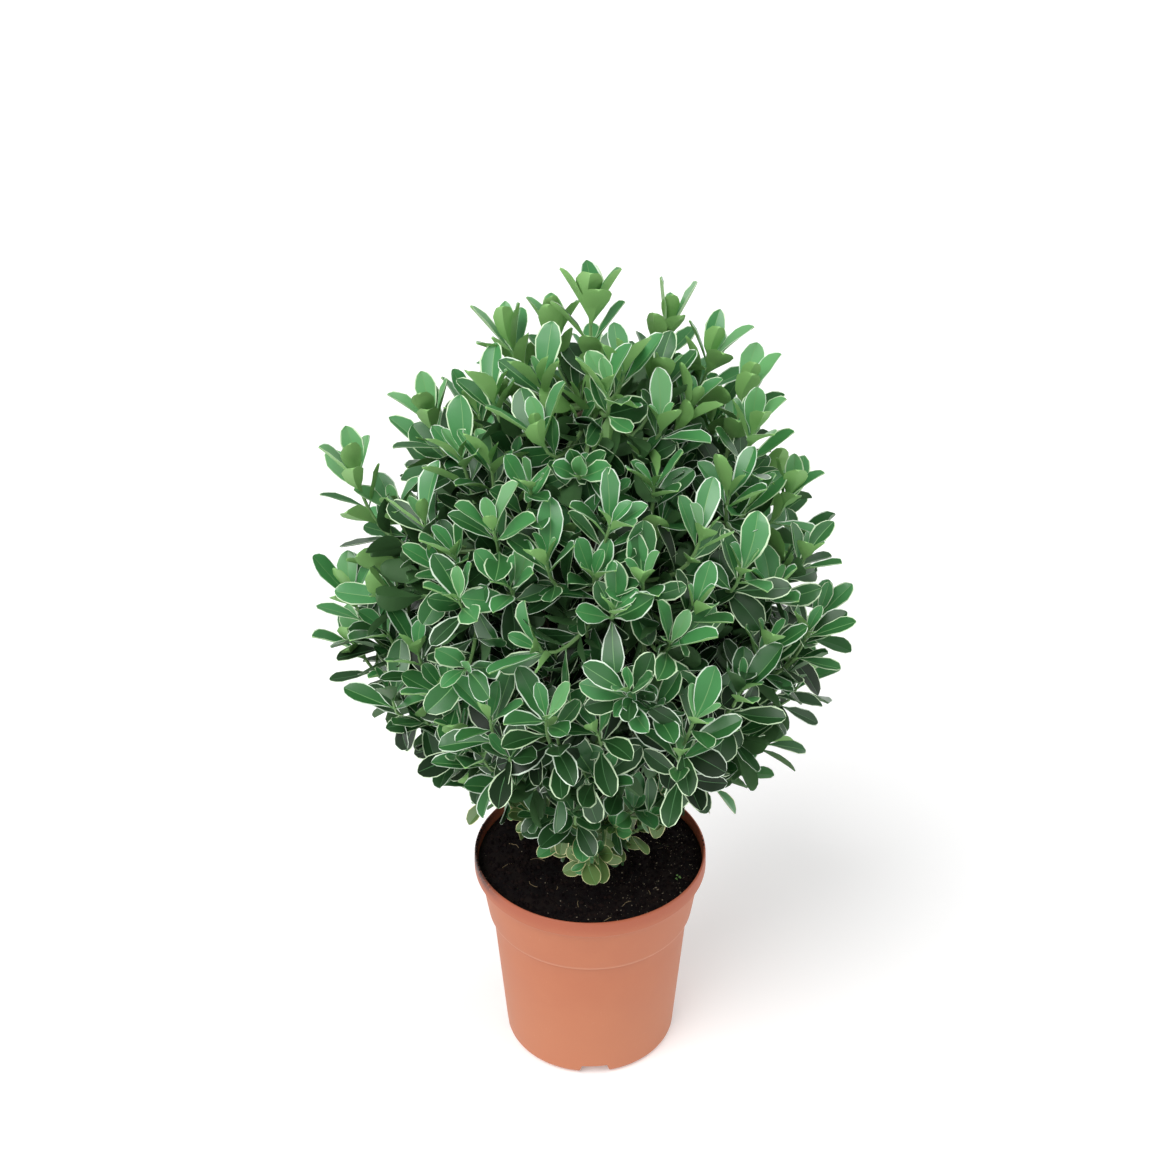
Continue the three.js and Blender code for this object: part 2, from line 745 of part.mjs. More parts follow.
// How far back from a shoot's end its pairs of leaves grow: two close together, then one at each step
function pairPlaces(length, core) {
  const places = [1, 1 + ROSETTE_STEP];
  while (places.at(-1) + PAIR_STEP < length - core * CORE_COVER) {
    places.push(places.at(-1) + PAIR_STEP);
  }
  return places;
}

function growShoots(mass, tips, twigFits) {
  const shoots = [];
  for (const tip of tips) {
    const curve = shootCurve(mass.centre, tip.end, tip.direction, twigFits);
    if (curve) {
      shoots.push({ curve, turn: tip.turn, places: pairPlaces(curve.getLength(), mass.core) });
    }
  }
  return shoots;
}

// Leaves of all a mass's shoots, from the tips inwards, so that the crown's skin fills first
function growLeaves(shoots, leafFits, random) {
  const leaves = [];
  const deepest = Math.max(...shoots.map((shoot) => shoot.places.length));
  for (let level = 0; level < deepest; level += 1) {
    for (const { curve, turn, places } of shoots.filter((shoot) => level < shoot.places.length)) {
      const share = 1 - places[level] / curve.getLength();
      const root = curve.getPointAt(share);
      const along = curve.getTangentAt(share);
      const inRosette = level < ROSETTE_SPREADS.length;
      const degrees = (inRosette ? ROSETTE_SPREADS[level] : PAIR_SPREAD) + (random() - 0.5) * SPREAD_PLAY;
      const tilt = inRosette ? 0 : LIGHT_TILT;
      for (const opposite of [0, Math.PI]) {
        const bearing = { turn: turn + (level * Math.PI) / 2 + opposite, spread: degrees * RADIANS, tilt };
        const points = growLeaf(root, along, bearing, leafFits, leaves);
        if (points) {
          leaves.push(points);
        }
      }
    }
  }
  return leaves;
}

// A mass's stem, which carries on from its bough, and the core that stands for its dense inner twigs
function stemAndCore(mass, limbsAndGap) {
  const bough = boughCurve(mass);
  const stemStart = boughEnd(mass, bough) + FIT_GAP / bough.getLength();
  const stem = limb(bough, stemStart, 1, taper(BOUGH_TIP_RADIUS, SHOOT_RADIUS), BOUGH_SIDES, STEM_STEPS);
  const core = new THREE.IcosahedronGeometry(mass.core, 0);
  core.translate(mass.centre.x, mass.centre.y, mass.centre.z);
  return [toSolid(stem), toSolid(core).subtract(limbsAndGap)];
}

function foliage(mass, masses, tips, marks, limbsAndGap, random) {
  const twigFits = (point) => fits(point, SHOOT_RADIUS, mass, masses, marks);
  const leafFits = (point) => fits(point, 0, mass, masses, marks);
  const shoots = growShoots(mass, tips, twigFits);
  const twigs = shoots.map(({ curve }) =>
    toSolid(limb(curve, 0, 1, taper(SHOOT_RADIUS, SHOOT_TIP_RADIUS), SHOOT_SIDES, SHOOT_STEPS)),
  );
  const leaves = growLeaves(shoots, leafFits, random).map((points) => toSolid(leafGeometry(points)));
  return joinMass([...stemAndCore(mass, limbsAndGap), ...twigs], leaves);
}

// Materials and assembly

function material(color, roughness) {
  return new THREE.MeshStandardMaterial({ color, roughness, metalness: 0 });
}

function addMesh(group, name, geometry, finish) {
  const mesh = new THREE.Mesh(geometry, finish);
  mesh.name = name;
  group.add(mesh);
}

function shrub() {
  const group = new THREE.Group();
  const bark = material(BARK, 0.85);
  addMesh(group, 'pot', pot(), material(TERRACOTTA, 0.55));
  addMesh(group, 'compost', compost(), material(PEAT, 0.95));
  addMesh(group, 'trunk', toGeometry(trunkSolid(0)), bark);
  const trunkAndGap = trunkSolid(FIT_GAP);
  const masses = foliageMasses();
  const marks = limbMarks(masses);
  const limbsAndGap = joinAll([trunkAndGap, ...masses.map((mass) => boughSolid(mass, FIT_GAP))]);
  const tips = shootTips(SHOOTS);
  const random = seeded(SEED + 1);
  for (const mass of masses) {
    const bough = mainBody(boughSolid(mass, 0).subtract(trunkAndGap));
    addMesh(group, `bough_${mass.name}`, toGeometry(bough), bark);
    const ownTips = tips.filter((tip) => nearestMass(tip.end, masses) === mass);
    const leaves = foliage(mass, masses, ownTips, marks, limbsAndGap, random);
    addMesh(group, `foliage_${mass.name}`, leaves, material(GREENS[mass.ring], 0.45));
  }
  return group;
}

export default shrub();
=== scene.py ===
"""A potted Japanese spindle, dressed for a studio picture: cream-edged leaves, bark, compost and pot."""

import json
import logging
import math
from collections.abc import Callable
from dataclasses import dataclass, field
from enum import Enum

import bpy
import numpy as np
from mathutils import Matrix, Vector, noise

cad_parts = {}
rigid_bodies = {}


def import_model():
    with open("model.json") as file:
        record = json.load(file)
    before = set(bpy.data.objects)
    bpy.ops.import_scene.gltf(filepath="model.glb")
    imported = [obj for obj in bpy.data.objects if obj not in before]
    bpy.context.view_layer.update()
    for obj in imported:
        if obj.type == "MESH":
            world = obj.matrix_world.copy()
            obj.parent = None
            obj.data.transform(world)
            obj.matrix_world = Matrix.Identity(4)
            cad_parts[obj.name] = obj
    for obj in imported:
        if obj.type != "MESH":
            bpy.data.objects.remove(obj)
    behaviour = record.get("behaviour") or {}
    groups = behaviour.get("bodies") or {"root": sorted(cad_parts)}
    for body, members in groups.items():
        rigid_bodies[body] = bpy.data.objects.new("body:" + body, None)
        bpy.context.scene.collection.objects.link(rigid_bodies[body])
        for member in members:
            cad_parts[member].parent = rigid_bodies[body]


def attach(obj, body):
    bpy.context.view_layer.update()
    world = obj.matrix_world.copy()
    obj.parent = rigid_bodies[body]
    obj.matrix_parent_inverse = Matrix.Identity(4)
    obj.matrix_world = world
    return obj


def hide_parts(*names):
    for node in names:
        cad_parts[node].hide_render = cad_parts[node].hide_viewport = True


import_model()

LOG = logging.getLogger("spindle")
MM = 0.001
UP = np.array((0.0, 0.0, 1.0))
BODY = "root"
SEED = 20261128
FINE_SEED = SEED + 2
INNER_SEED = SEED + 3
CRUMB_SEED = SEED + 5
WORD = 0xFFFFFFFF
GOLDEN_ANGLE = math.pi * (3 - math.sqrt(5))

SOIL_HEIGHT = 178 * MM
POT_HEIGHT = 185.8 * MM
MOUTH_RADIUS = 92.2 * MM
FIT_GAP = 0.3 * MM

CURVE_LOOK = 0.01
CURVE_POINTS = 61
SPAN_POINTS = 40
TOUCH = 0.01 * MM

Colour = tuple[float, float, float]
Pair = tuple[float, float]
Triple = tuple[float, float, float]
Profile = list[Pair]
Arrays = tuple[np.ndarray, ...]
RadiusAt = Callable[[float, float], float]
Random = np.random.Generator
Piece = bpy.types.Object
Material = bpy.types.Material
NodeTree = bpy.types.NodeTree
Socket = bpy.types.NodeSocket


# Curves and repeatable numbers

class Stream:
    """A repeatable stream of numbers from 0 to 1, the same one as in the part's source."""

    def __init__(self, seed: int) -> None:
        """Starts the stream at a seed."""
        self.state = seed & WORD

    def next(self) -> float:
        """Moves the stream on.

        Returns:
            The next number.
        """
        self.state = (self.state + 0x6D2B79F5) & WORD
        mixed = self.state
        mixed = ((mixed ^ (mixed >> 15)) * (mixed | 1)) & WORD
        mixed ^= (mixed + (mixed ^ (mixed >> 7)) * (mixed | 61)) & WORD
        return ((mixed ^ (mixed >> 14)) & WORD) / (WORD + 1)


class ArcCurve:
    """A curve through closely spaced points, read by the share of its length."""

    def __init__(self, points: np.ndarray) -> None:
        """Keeps the points and the length up to each of them.

        Args:
            points: the points, one row each.
        """
        self.points = points
        steps = np.linalg.norm(np.diff(points, axis=0), axis=1)
        self.lengths = np.concatenate(([0.0], np.cumsum(steps)))

    @property
    def length(self) -> float:
        """The curve's whole length."""
        return float(self.lengths[-1])

    def at(self, share: float) -> np.ndarray:
        """The point at a share of the length."""
        place = share * self.length
        return np.array([np.interp(place, self.lengths, self.points[:, axis]) for axis in range(3)])

    def along(self, share: float) -> np.ndarray:
        """The direction at a share of the length."""
        step = self.at(min(1.0, share + CURVE_LOOK)) - self.at(max(0.0, share - CURVE_LOOK))
        return step / np.linalg.norm(step)

    def spaced(self, count: int) -> np.ndarray:
        """Points at equal shares of the length, both ends among them."""
        return np.array([self.at(share) for share in np.linspace(0, 1, count)])


def quadratic(start: np.ndarray, control: np.ndarray, end: np.ndarray) -> ArcCurve:
    """A curve with one bend, from its start towards its control point and on to its end."""
    t = np.linspace(0, 1, CURVE_POINTS)[:, None]
    return ArcCurve((1 - t) ** 2 * start + 2 * t * (1 - t) * control + t**2 * end)


def smooth_line(points: np.ndarray) -> ArcCurve:
    """A smooth curve through a few points, spaced by the root of their distances.

    Args:
        points: the points, from the first to the last.

    Returns:
        The curve.
    """
    ends = [2 * points[0] - points[1], *points, 2 * points[-1] - points[-2]]
    samples = []
    for before, first, second, after in zip(ends, ends[1:], ends[2:], ends[3:]):
        pairs = ((before, first), (first, second), (second, after))
        gaps = [math.sqrt(np.linalg.norm(b - a)) for a, b in pairs]
        leave = (first - before) / gaps[0] - (second - before) / (gaps[0] + gaps[1])
        leave = (leave + (second - first) / gaps[1]) * gaps[1]
        reach = (second - first) / gaps[1] - (after - first) / (gaps[1] + gaps[2])
        reach = (reach + (after - second) / gaps[2]) * gaps[1]
        t = np.linspace(0, 1, SPAN_POINTS, endpoint=False)[:, None]
        square = 3 * (second - first) - 2 * leave - reach
        cube = 2 * (first - second) + leave + reach
        samples.append(first + leave * t + square * t**2 + cube * t**3)
    samples.append(points[-1][None, :])
    return ArcCurve(np.vstack(samples))


def unit(vector: np.ndarray) -> np.ndarray:
    """The vector at length one."""
    return vector / np.linalg.norm(vector)


# The growth rule, as in the part's source

@dataclass(frozen=True)
class Ring:
    """A ring of foliage masses round the trunk, in metres over the soil and degrees.

    Each mass keeps a core, into which its bough doesn't reach. The bough forks off at a height up the trunk,
    spreads by a share of its way out and rises by a share of its way up before it bends.
    """

    name: str
    count: int
    height: float
    radius: float
    turn: float
    core: float
    fork: float
    spread: float
    rise: float


@dataclass(frozen=True)
class GrowthSizes:
    """Sizes of trunk, boughs and crown, as in the part's source."""

    soil: float = SOIL_HEIGHT
    fit_gap: float = FIT_GAP
    pot_height: float = POT_HEIGHT
    mouth_radius: float = MOUTH_RADIUS
    trunk_height: float = 150 * MM
    trunk_foot: float = 11.5 * MM
    trunk_tip: float = 6.5 * MM
    trunk_lean: Pair = (5 * MM, -4 * MM)
    flare_height: float = 22 * MM
    flare_width: float = 0.55
    flare_lobes: int = 5
    flare_even: float = 0.6
    flare_wave: float = 0.4
    bough_foot: float = 4.6 * MM
    bough_tip: float = 3.2 * MM
    fork_step: float = 5 * MM
    core_clearance: float = 7 * MM
    crown_height: float = 525 * MM
    crown_radius: float = 193 * MM
    widest_height: float = 242 * MM
    foot_narrowing: float = 0.82
    foot_curve: float = 1.35
    top_curve: float = 1.6
    top_roundness: float = 0.62
    crown_start: float = 36 * MM
    skin_steps: int = 240
    slope_reach: float = 4 * MM
    shoots: int = 138
    skin_roughness: float = 0.07
    skin_inset: float = 0.2
    azimuth_play: float = 0.3
    height_play: float = 10 * MM
    leader_clearing: float = 36 * MM


# The trunk's middle line: shares of its lean along X and Y, and of its height
TRUNK_LINE = ((0, 0, 0), (0.6, 0.4, 0.35), (1, 1, 0.7), (0.7, 0.8, 1))
RINGS = (
    Ring("lower", 4, 88 * MM, 46 * MM, -88, 12 * MM, 36 * MM, 0.45, 0.4),
    Ring("middle", 6, 204 * MM, 100 * MM, -100, 24 * MM, 74 * MM, 0.38, 0.55),
    Ring("upper", 5, 326 * MM, 90 * MM, -76, 25 * MM, 112 * MM, 0.55, 0.3),
    Ring("top", 1, 424 * MM, 8 * MM, -60, 25 * MM, 146 * MM, 0.3, 0.5),
)
# Each leader's tip: azimuth in degrees, then height over the soil and distance from the axis in mm
LEADERS = (
    (90, 524, 28), (152, 470, 86), (129, 480, 64), (39, 480, 95), (22, 455, 117), (8, 436, 137),
    (-8, 418, 141), (-2, 354, 170), (-6, 250, 200), (2, 151, 185), (168, 406, 143), (180, 368, 196),
    (185, 268, 206), (178, 188, 202), (-160, 80, 118), (-4, 74, 137), (-84, 34, 84),
)
# Short low shoots over the compost, and two that fill out the lower right, in the same three numbers
LOW_SHOOTS = (
    (-110, 52, 66), (-62, 50, 72), (-140, 50, 70), (-28, 52, 76), (20, 54, 74), (65, 52, 70), (110, 54, 72),
    (155, 52, 72), (-92, 66, 96), (-122, 70, 98), (-52, 68, 98), (-31, 150, 160), (-12, 132, 172),
    (-102, 38, 58), (-70, 40, 60), (-122, 44, 64), (-88, 44, 66), (-48, 48, 84), (-136, 58, 88),
    (-74, 60, 90), (-106, 60, 88), (-102, 26, 72), (-66, 27, 72), (-84, 20, 58), (-116, 29, 66),
    (-52, 31, 74), (-92, 30, 92),
)


@dataclass
class Tip:
    """A shoot's end, its direction there, its turn and how strong a shoot it is."""

    end: np.ndarray
    direction: np.ndarray
    turn: float = 0.0
    strength: float = 1.0


@dataclass
class Mass:
    """A mass of foliage at the end of its own bough, with the share of the bough where its wood ends."""

    name: str
    centre: np.ndarray
    bough: ArcCurve
    bough_end: float


@dataclass
class Shoot:
    """A leafy shoot: its curve, tip, radii, parent, bare length and the share of it that bears others."""

    curve: ArcCurve
    tip: Tip
    foot_radius: float
    tip_radius: float
    parent: "Shoot | None" = None
    bare: float = 1.0
    bears: float = 0.0

    @property
    def leafy(self) -> bool:
        """Whether it has a leaf."""
        return self.bare < self.curve.length


@dataclass
class Growth:
    """Trunk, boughs, masses and shoots, grown by the source's rule and carried to finer shoots."""

    sizes: GrowthSizes = field(default_factory=GrowthSizes)
    leaf_inset: float = 31 * MM
    leader_inset: float = 27 * MM
    upright_inset: float = 0.7
    upright_power: int = 4
    leader_lean: float = 0.3
    leader_play: float = 0.15
    leader_strength: float = 1.2
    reach_play: float = 10 * MM
    reach_range: Pair = (-1.4, 0.8)
    top_start: float = 0.6
    top_inset: float = 33 * MM
    inner_shoots: int = 210
    inner_share: float = 0.7
    inner_clearing: float = 22 * MM
    inner_strength: float = 0.3
    light_pull: Pair = (0.45, 0.8)
    light_height: float = 120 * MM
    straight_share: float = 0.72
    branching: float = 0.5
    lean: float = 0.13
    fine_shoots: int = 360
    fine_clearing: float = 33 * MM
    fine_strength: float = 0.8
    fine_foot: float = 1.5
    bends: tuple[float, ...] = (1, 0.5, 0, -0.5)
    shoot_foot: float = 2.0 * MM
    shoot_tip: float = 1.2 * MM
    limb_clearance: float = 2.2 * MM
    pot_clearance: float = 2.5 * MM
    soil_clearance: float = 3 * MM
    limb_points: int = 51
    shoot_points: int = 13
    rooted_points: int = 2
    masses: list[Mass] = field(default_factory=list)

    def __post_init__(self) -> None:
        """Grows the trunk line, the boughs and the marks along them."""
        s = self.sizes
        base = s.soil + s.fit_gap
        lean = s.trunk_lean
        line = [(lean[0] * x, lean[1] * y, base + s.trunk_height * height) for x, y, height in TRUNK_LINE]
        self.trunk = smooth_line(np.array(line))
        for ring in RINGS:
            for i in range(ring.count):
                self.masses.append(self.mass(ring, i))
        self.centres = np.array([mass.centre for mass in self.masses])
        self.marks, self.mark_radii = self.limb_marks()

    def mass(self, ring: Ring, index: int) -> Mass:
        """One mass of a ring, with its bough.

        Args:
            ring: the ring.
            index: the mass's number in it, from 0.

        Returns:
            The mass.
        """
        s = self.sizes
        azimuth = math.radians(ring.turn) + 2 * math.pi * index / ring.count
        centre = self.skin_point(azimuth, ring.height, ring.radius)
        fork = ring.fork + (2 * index) % ring.count * s.fork_step
        start = self.trunk.at(fork / s.trunk_height)
        control = start + (centre - start) * ring.spread
        control[2] = start[2] + (centre[2] - start[2]) * ring.rise
        bough = quadratic(start, control, centre)
        name = ring.name if ring.count == 1 else f"{ring.name}_{index + 1}"
        return Mass(name, centre, bough, 1 - (ring.core + s.core_clearance) / bough.length)

    def trunk_radius(self, share: float, angle: float) -> float:
        """The trunk's radius, tapering, with a lobed flare at its foot.

        Args:
            share: the share of the trunk's length.
            angle: the angle round the trunk, in radians.

        Returns:
            The radius.
        """
        s = self.sizes
        straight = s.trunk_foot + (s.trunk_tip - s.trunk_foot) * share
        low = max(0.0, 1 - share * s.trunk_height / s.flare_height)
        lobes = s.flare_even + s.flare_wave * math.cos(s.flare_lobes * angle)
        return straight * (1 + s.flare_width * low * low * lobes)

    def bough_radius(self, share: float, angle: float) -> float:
        """A bough's radius at a share of its length, the same at every angle round it."""
        s = self.sizes
        return s.bough_foot + (s.bough_tip - s.bough_foot) * share

    def limb_marks(self) -> tuple[np.ndarray, np.ndarray]:
        """Marks along the middle of each limb, which shoots and leaves keep clear of.

        Returns:
            The marks, and the limb's radius at each.
        """
        shares = np.linspace(0, 1, self.limb_points)
        points = [self.trunk.at(share) for share in shares]
        radii = [self.trunk_radius(share, 0) for share in shares]
        for mass in self.masses:
            points += [mass.bough.at(share * mass.bough_end) for share in shares]
            radii += [self.bough_radius(share, 0) for share in shares]
        return np.array(points), np.array(radii)

    def skin_point(self, azimuth: float, height: float, radius: float) -> np.ndarray:
        """A point at an azimuth, a height over the soil and a distance from the axis."""
        return np.array((radius * math.cos(azimuth), radius * math.sin(azimuth), self.sizes.soil + height))

    def crown_radius(self, height: float) -> float:
        """The crown's radius, narrow at the foot and round at the top.

        Args:
            height: the height over the soil.

        Returns:
            The radius.
        """
        s = self.sizes
        if height < s.widest_height:
            down = (s.widest_height - height) / s.widest_height
            return s.crown_radius * (1 - s.foot_narrowing * down**s.foot_curve)
        up = min(1.0, (height - s.widest_height) / (s.crown_height - s.widest_height))
        return s.crown_radius * (1 - up**s.top_curve) ** s.top_roundness

    def tip(self, azimuth: float, height: float, radius: float, leads: bool = False) -> Tip:
        """A shoot's tip, inside the skin by the reach of its last leaves and turned up to the light.

        Args:
            azimuth: the skin point's azimuth.
            height: its height over the soil.
            radius: its distance from the axis.
            leads: whether the shoot is a leader, which stands out of the crown.

        Returns:
            The tip.
        """
        s = self.sizes
        middle = min(height, s.crown_height - 2 * s.slope_reach)
        rise = self.crown_radius(middle + s.slope_reach) - self.crown_radius(middle - s.slope_reach)
        slope = rise / (2 * s.slope_reach)
        out = unit(np.array((math.cos(azimuth), math.sin(azimuth), -slope)))
        inset = self.leaf_inset
        if leads:
            inset = self.leader_inset * (1 + self.upright_inset * max(0.0, out[2]) ** self.upright_power)
        end = self.skin_point(azimuth, height, radius) - out * inset
        pull = np.interp(height, (0, self.light_height), self.light_pull)
        return Tip(end, unit(out * (1 - pull) + UP * pull))

    def tips(self, places: tuple[Triple, ...], leads: bool) -> list[Tip]:
        """Tips at places given in degrees and millimetres, of leaders or of other shoots."""
        return [self.tip(math.radians(turn), high * MM, out * MM, leads) for turn, high, out in places]

    def skin(self) -> list[Pair]:
        """Steps up the skin.

        Returns:
            The height of each step over the soil, with the skin's area below it.
        """
        s = self.sizes
        steps = [(s.crown_start, 0.0)]
        for i in range(1, s.skin_steps + 1):
            height = s.crown_start + (s.crown_height - s.crown_start) * i / s.skin_steps
            low, high = self.crown_radius(steps[-1][0]), self.crown_radius(height)
            area = (low + high) * math.hypot(height - steps[-1][0], high - low)
            steps.append((height, steps[-1][1] + area))
        return steps

    def spread_tips(self, count: int, seed: int, taken: list[Tip], clearing: float) -> list[Tip]:
        """Tips spread evenly over the skin by the golden angle, clear of those that are taken.

        Args:
            count: how many tips the skin is shared out to.
            seed: the stream's seed.
            taken: tips that are there already.
            clearing: the distance kept from them.

        Returns:
            The new tips, each with its turn.
        """
        s = self.sizes
        stream = Stream(seed)
        steps = self.skin()
        areas = np.array([area for _, area in steps])
        tips = []
        for i in range(count):
            above = int(np.searchsorted(areas, (i + 0.5) / count * areas[-1]))
            middle = (steps[above - 1][0] + steps[above][0]) / 2
            azimuth = i * GOLDEN_ANGLE + (stream.next() - 0.5) * s.azimuth_play
            height = middle + (stream.next() - 0.5) * s.height_play
            radius = self.crown_radius(height)
            radius *= 1 + (stream.next() * 2 - 1 - s.skin_inset) * s.skin_roughness
            tip = self.tip(azimuth, height, radius)
            if all(np.linalg.norm(other.end - tip.end) > clearing for other in taken):
                tips.append(tip)
        for tip in [*taken, *tips]:
            tip.turn = tip.turn or stream.next() * math.pi
        return tips

    def room(self, points: np.ndarray, mass: Mass) -> np.ndarray:
        """How far points lie inside a mass's own space, which ends half-way to each neighbour.

        Args:
            points: the points, one row each.
            mass: the mass.

        Returns:
            Each point's distance to the nearest border, below 0 where it lies outside.
        """
        others = np.array([other.centre for other in self.masses if other is not mass])
        away = others - mass.centre
        middle = (others + mass.centre) / 2
        distance = ((middle[None] - points[:, None]) * away[None]).sum(2) / np.linalg.norm(away, axis=1)
        return distance.min(1)

    def clear(self, points: np.ndarray, clearance: float) -> bool:
        """Whether all the points keep clear of the limbs, the pot and the compost.

        Args:
            points: the points, one row each.
            clearance: the distance that they keep from the limbs.

        Returns:
            True where they do.
        """
        s = self.sizes
        radii = np.hypot(points[:, 0], points[:, 1])
        inside = radii < s.mouth_radius - self.pot_clearance
        floor = np.where(inside, s.soil + self.soil_clearance, s.pot_height + self.pot_clearance)
        if (points[:, 2] < floor).any():
            return False
        gaps = np.linalg.norm(points[:, None] - self.marks[None], axis=2) - self.mark_radii[None]
        return bool((gaps > clearance).all())

    def shoot_curve(self, start: np.ndarray, tip: Tip, mass: Mass) -> ArcCurve | None:
        """A shoot's curve, with less bend where its own space is tight.

        Args:
            start: where it grows from.
            tip: where it ends.
            mass: its mass.

        Returns:
            The curve, or None where every bend would hit a limb, the pot or the compost.
        """
        length = np.linalg.norm(tip.end - start)
        found = None
        for bend in self.bends:
            control = tip.end - tip.direction * self.straight_share * length
            control = control + ((start + tip.end) / 2 - control) * (1 - bend)
            curve = quadratic(start, control, tip.end)
            points = curve.spaced(self.shoot_points)
            if self.clear(points[self.rooted_points:], self.limb_clearance):
                found = found or curve
                if (self.room(points, mass) > self.shoot_foot).all():
                    return curve
        return found

    def outer_tips(self) -> tuple[list[Tip], list[Tip]]:
        """Tips on the crown's skin, which lean and reach with some play.

        Returns:
            The source's own tips, leaders first, and the finer and lower ones between them.
        """
        s = self.sizes
        leaders = self.tips(LEADERS, True)
        own = leaders + self.spread_tips(s.shoots, SEED, leaders, s.leader_clearing)
        low = self.tips(LOW_SHOOTS, False)
        fine = low + self.spread_tips(self.fine_shoots, FINE_SEED, [*own, *low], self.fine_clearing)
        random = np.random.default_rng(SEED)
        for tip in leaders:
            tip.turn = random.normal(0, self.leader_play)
            tip.strength = self.leader_strength
        for number, tip in enumerate([*own, *fine]):
            leads = number < len(leaders)
            lean = self.lean * (self.leader_lean if leads else 1)
            tip.direction = unit(tip.direction + random.normal(0, lean, 3))
            if not leads:
                heights = (self.top_start * s.crown_height, s.crown_height)
                top = np.interp(tip.end[2] - s.soil, heights, (0, self.top_inset))
                reach = random.uniform(*self.reach_range) * self.reach_play - top
                tip.end = tip.end + tip.direction * reach
        return own, fine

    def inner_tips(self, taken: list[Tip]) -> list[Tip]:
        """Tips of weak shoots deep in the crown, where little light comes.

        Args:
            taken: tips that are there already.

        Returns:
            The new tips.
        """
        tips = self.spread_tips(self.inner_shoots, INNER_SEED, [], 0)
        middle = self.skin_point(0, self.sizes.widest_height, 0)
        found = []
        for tip in tips:
            tip.end = middle + (tip.end - middle) * self.inner_share
            tip.strength = self.inner_strength
            if all(np.linalg.norm(other.end - tip.end) > self.inner_clearing for other in taken):
                found.append(tip)
        return found

    def shoots(self) -> dict[str, list[Shoot]]:
        """Grows the source's own shoots, and finer ones that branch from them.

        Returns:
            The shoots of each mass, by its name.
        """
        own, fine = self.outer_tips()
        inner = self.inner_tips([*own, *fine])
        grown = {mass.name: [] for mass in self.masses}
        for tip in own:
            mass = self.nearest(tip.end)
            curve = self.shoot_curve(mass.centre, tip, mass)
            if curve:
                grown[mass.name].append(Shoot(curve, tip, self.shoot_foot, self.shoot_tip))
        mains = {name: list(shoots) for name, shoots in grown.items()}
        for tip in [*fine, *inner]:
            tip.strength = tip.strength * self.fine_strength
            mass = self.nearest(tip.end)
            near = min(mains[mass.name], key=lambda shoot: np.linalg.norm(shoot.tip.end - tip.end))
            curve = self.shoot_curve(near.curve.at(self.branching), tip, mass)
            if curve:
                foot = self.shoot_tip * self.fine_foot
                grown[mass.name].append(Shoot(curve, tip, foot, self.shoot_tip, near))
        return grown

    def nearest(self, point: np.ndarray) -> Mass:
        """The mass whose middle is nearest to a point."""
        return self.masses[np.linalg.norm(self.centres - point, axis=1).argmin()]


# Meshes

def deselect() -> None:
    """Deselects every object."""
    for other in list(bpy.context.selected_objects):
        other.select_set(False)


def make_active(piece: Piece) -> None:
    """Selects one object alone and makes it the active one.

    Args:
        piece: the object.
    """
    deselect()
    piece.select_set(True)
    bpy.context.view_layer.objects.active = piece


def smooth(piece: Piece, angle: float) -> None:
    """Shades a piece smooth, but for edges sharper than an angle in degrees."""
    make_active(piece)
    bpy.ops.object.shade_smooth_by_angle(angle=math.radians(angle))


def linked(name: str, data: bpy.types.ID) -> Piece:
    """A new object in the scene.

    Args:
        name: its name.
        data: its mesh, curve, light or camera.

    Returns:
        The object.
    """
    made = bpy.data.objects.new(name, data)
    bpy.context.scene.collection.objects.link(made)
    return made


def mesh_from_arrays(
    name: str, points: np.ndarray, corners: np.ndarray, sizes: np.ndarray, slots: np.ndarray
) -> Piece:
    """A mesh object from plain arrays.

    Args:
        name: the piece's name.
        points: the vertices, one row each.
        corners: the vertex number at each corner of each face, face by face.
        sizes: how many corners each face has.
        slots: each face's material slot.

    Returns:
        The new object, linked to the scene.
    """
    mesh = bpy.data.meshes.new(name)
    mesh.vertices.add(len(points))
    mesh.vertices.foreach_set("co", points.astype(np.float32).ravel())
    mesh.loops.add(len(corners))
    mesh.loops.foreach_set("vertex_index", corners.astype(np.int32))
    mesh.polygons.add(len(sizes))
    starts = np.concatenate(([0], np.cumsum(sizes)[:-1])).astype(np.int32)
    mesh.polygons.foreach_set("loop_start", starts)
    mesh.polygons.foreach_set("material_index", slots.astype(np.int32))
    mesh.update(calc_edges=True)
    return linked(name, mesh)


@dataclass
class Heap:
    """Many small shapes, gathered as arrays to become one mesh."""

    points: list[np.ndarray] = field(default_factory=list)
    corners: list[np.ndarray] = field(default_factory=list)
    sizes: list[np.ndarray] = field(default_factory=list)
    slots: list[np.ndarray] = field(default_factory=list)
    count: int = 0

    def add(self, points: np.ndarray, corners: np.ndarray, sizes: np.ndarray, slots: np.ndarray) -> None:
        """Adds one shape.

        Args:
            points: its vertices.
            corners: the vertex number at each corner, counted from its own first vertex.
            sizes: how many corners each face has.
            slots: each face's material slot.
        """
        self.points.append(points)
        self.corners.append(corners + self.count)
        self.sizes.append(sizes)
        self.slots.append(slots)
        self.count += len(points)

    def piece(self, name: str, finishes: list[Material], smooth_angle: float) -> Piece:
        """The heap as one smooth-shaded piece.

        Args:
            name: the piece's name.
            finishes: its materials, in the order of the slots.
            smooth_angle: edges sharper than this many degrees stay sharp.

        Returns:
            The piece.
        """
        parts = [np.concatenate(part) for part in (self.points, self.corners, self.sizes, self.slots)]
        piece = mesh_from_arrays(name, *parts)
        for finish in finishes:
            piece.data.materials.append(finish)
        smooth(piece, smooth_angle)
        return piece


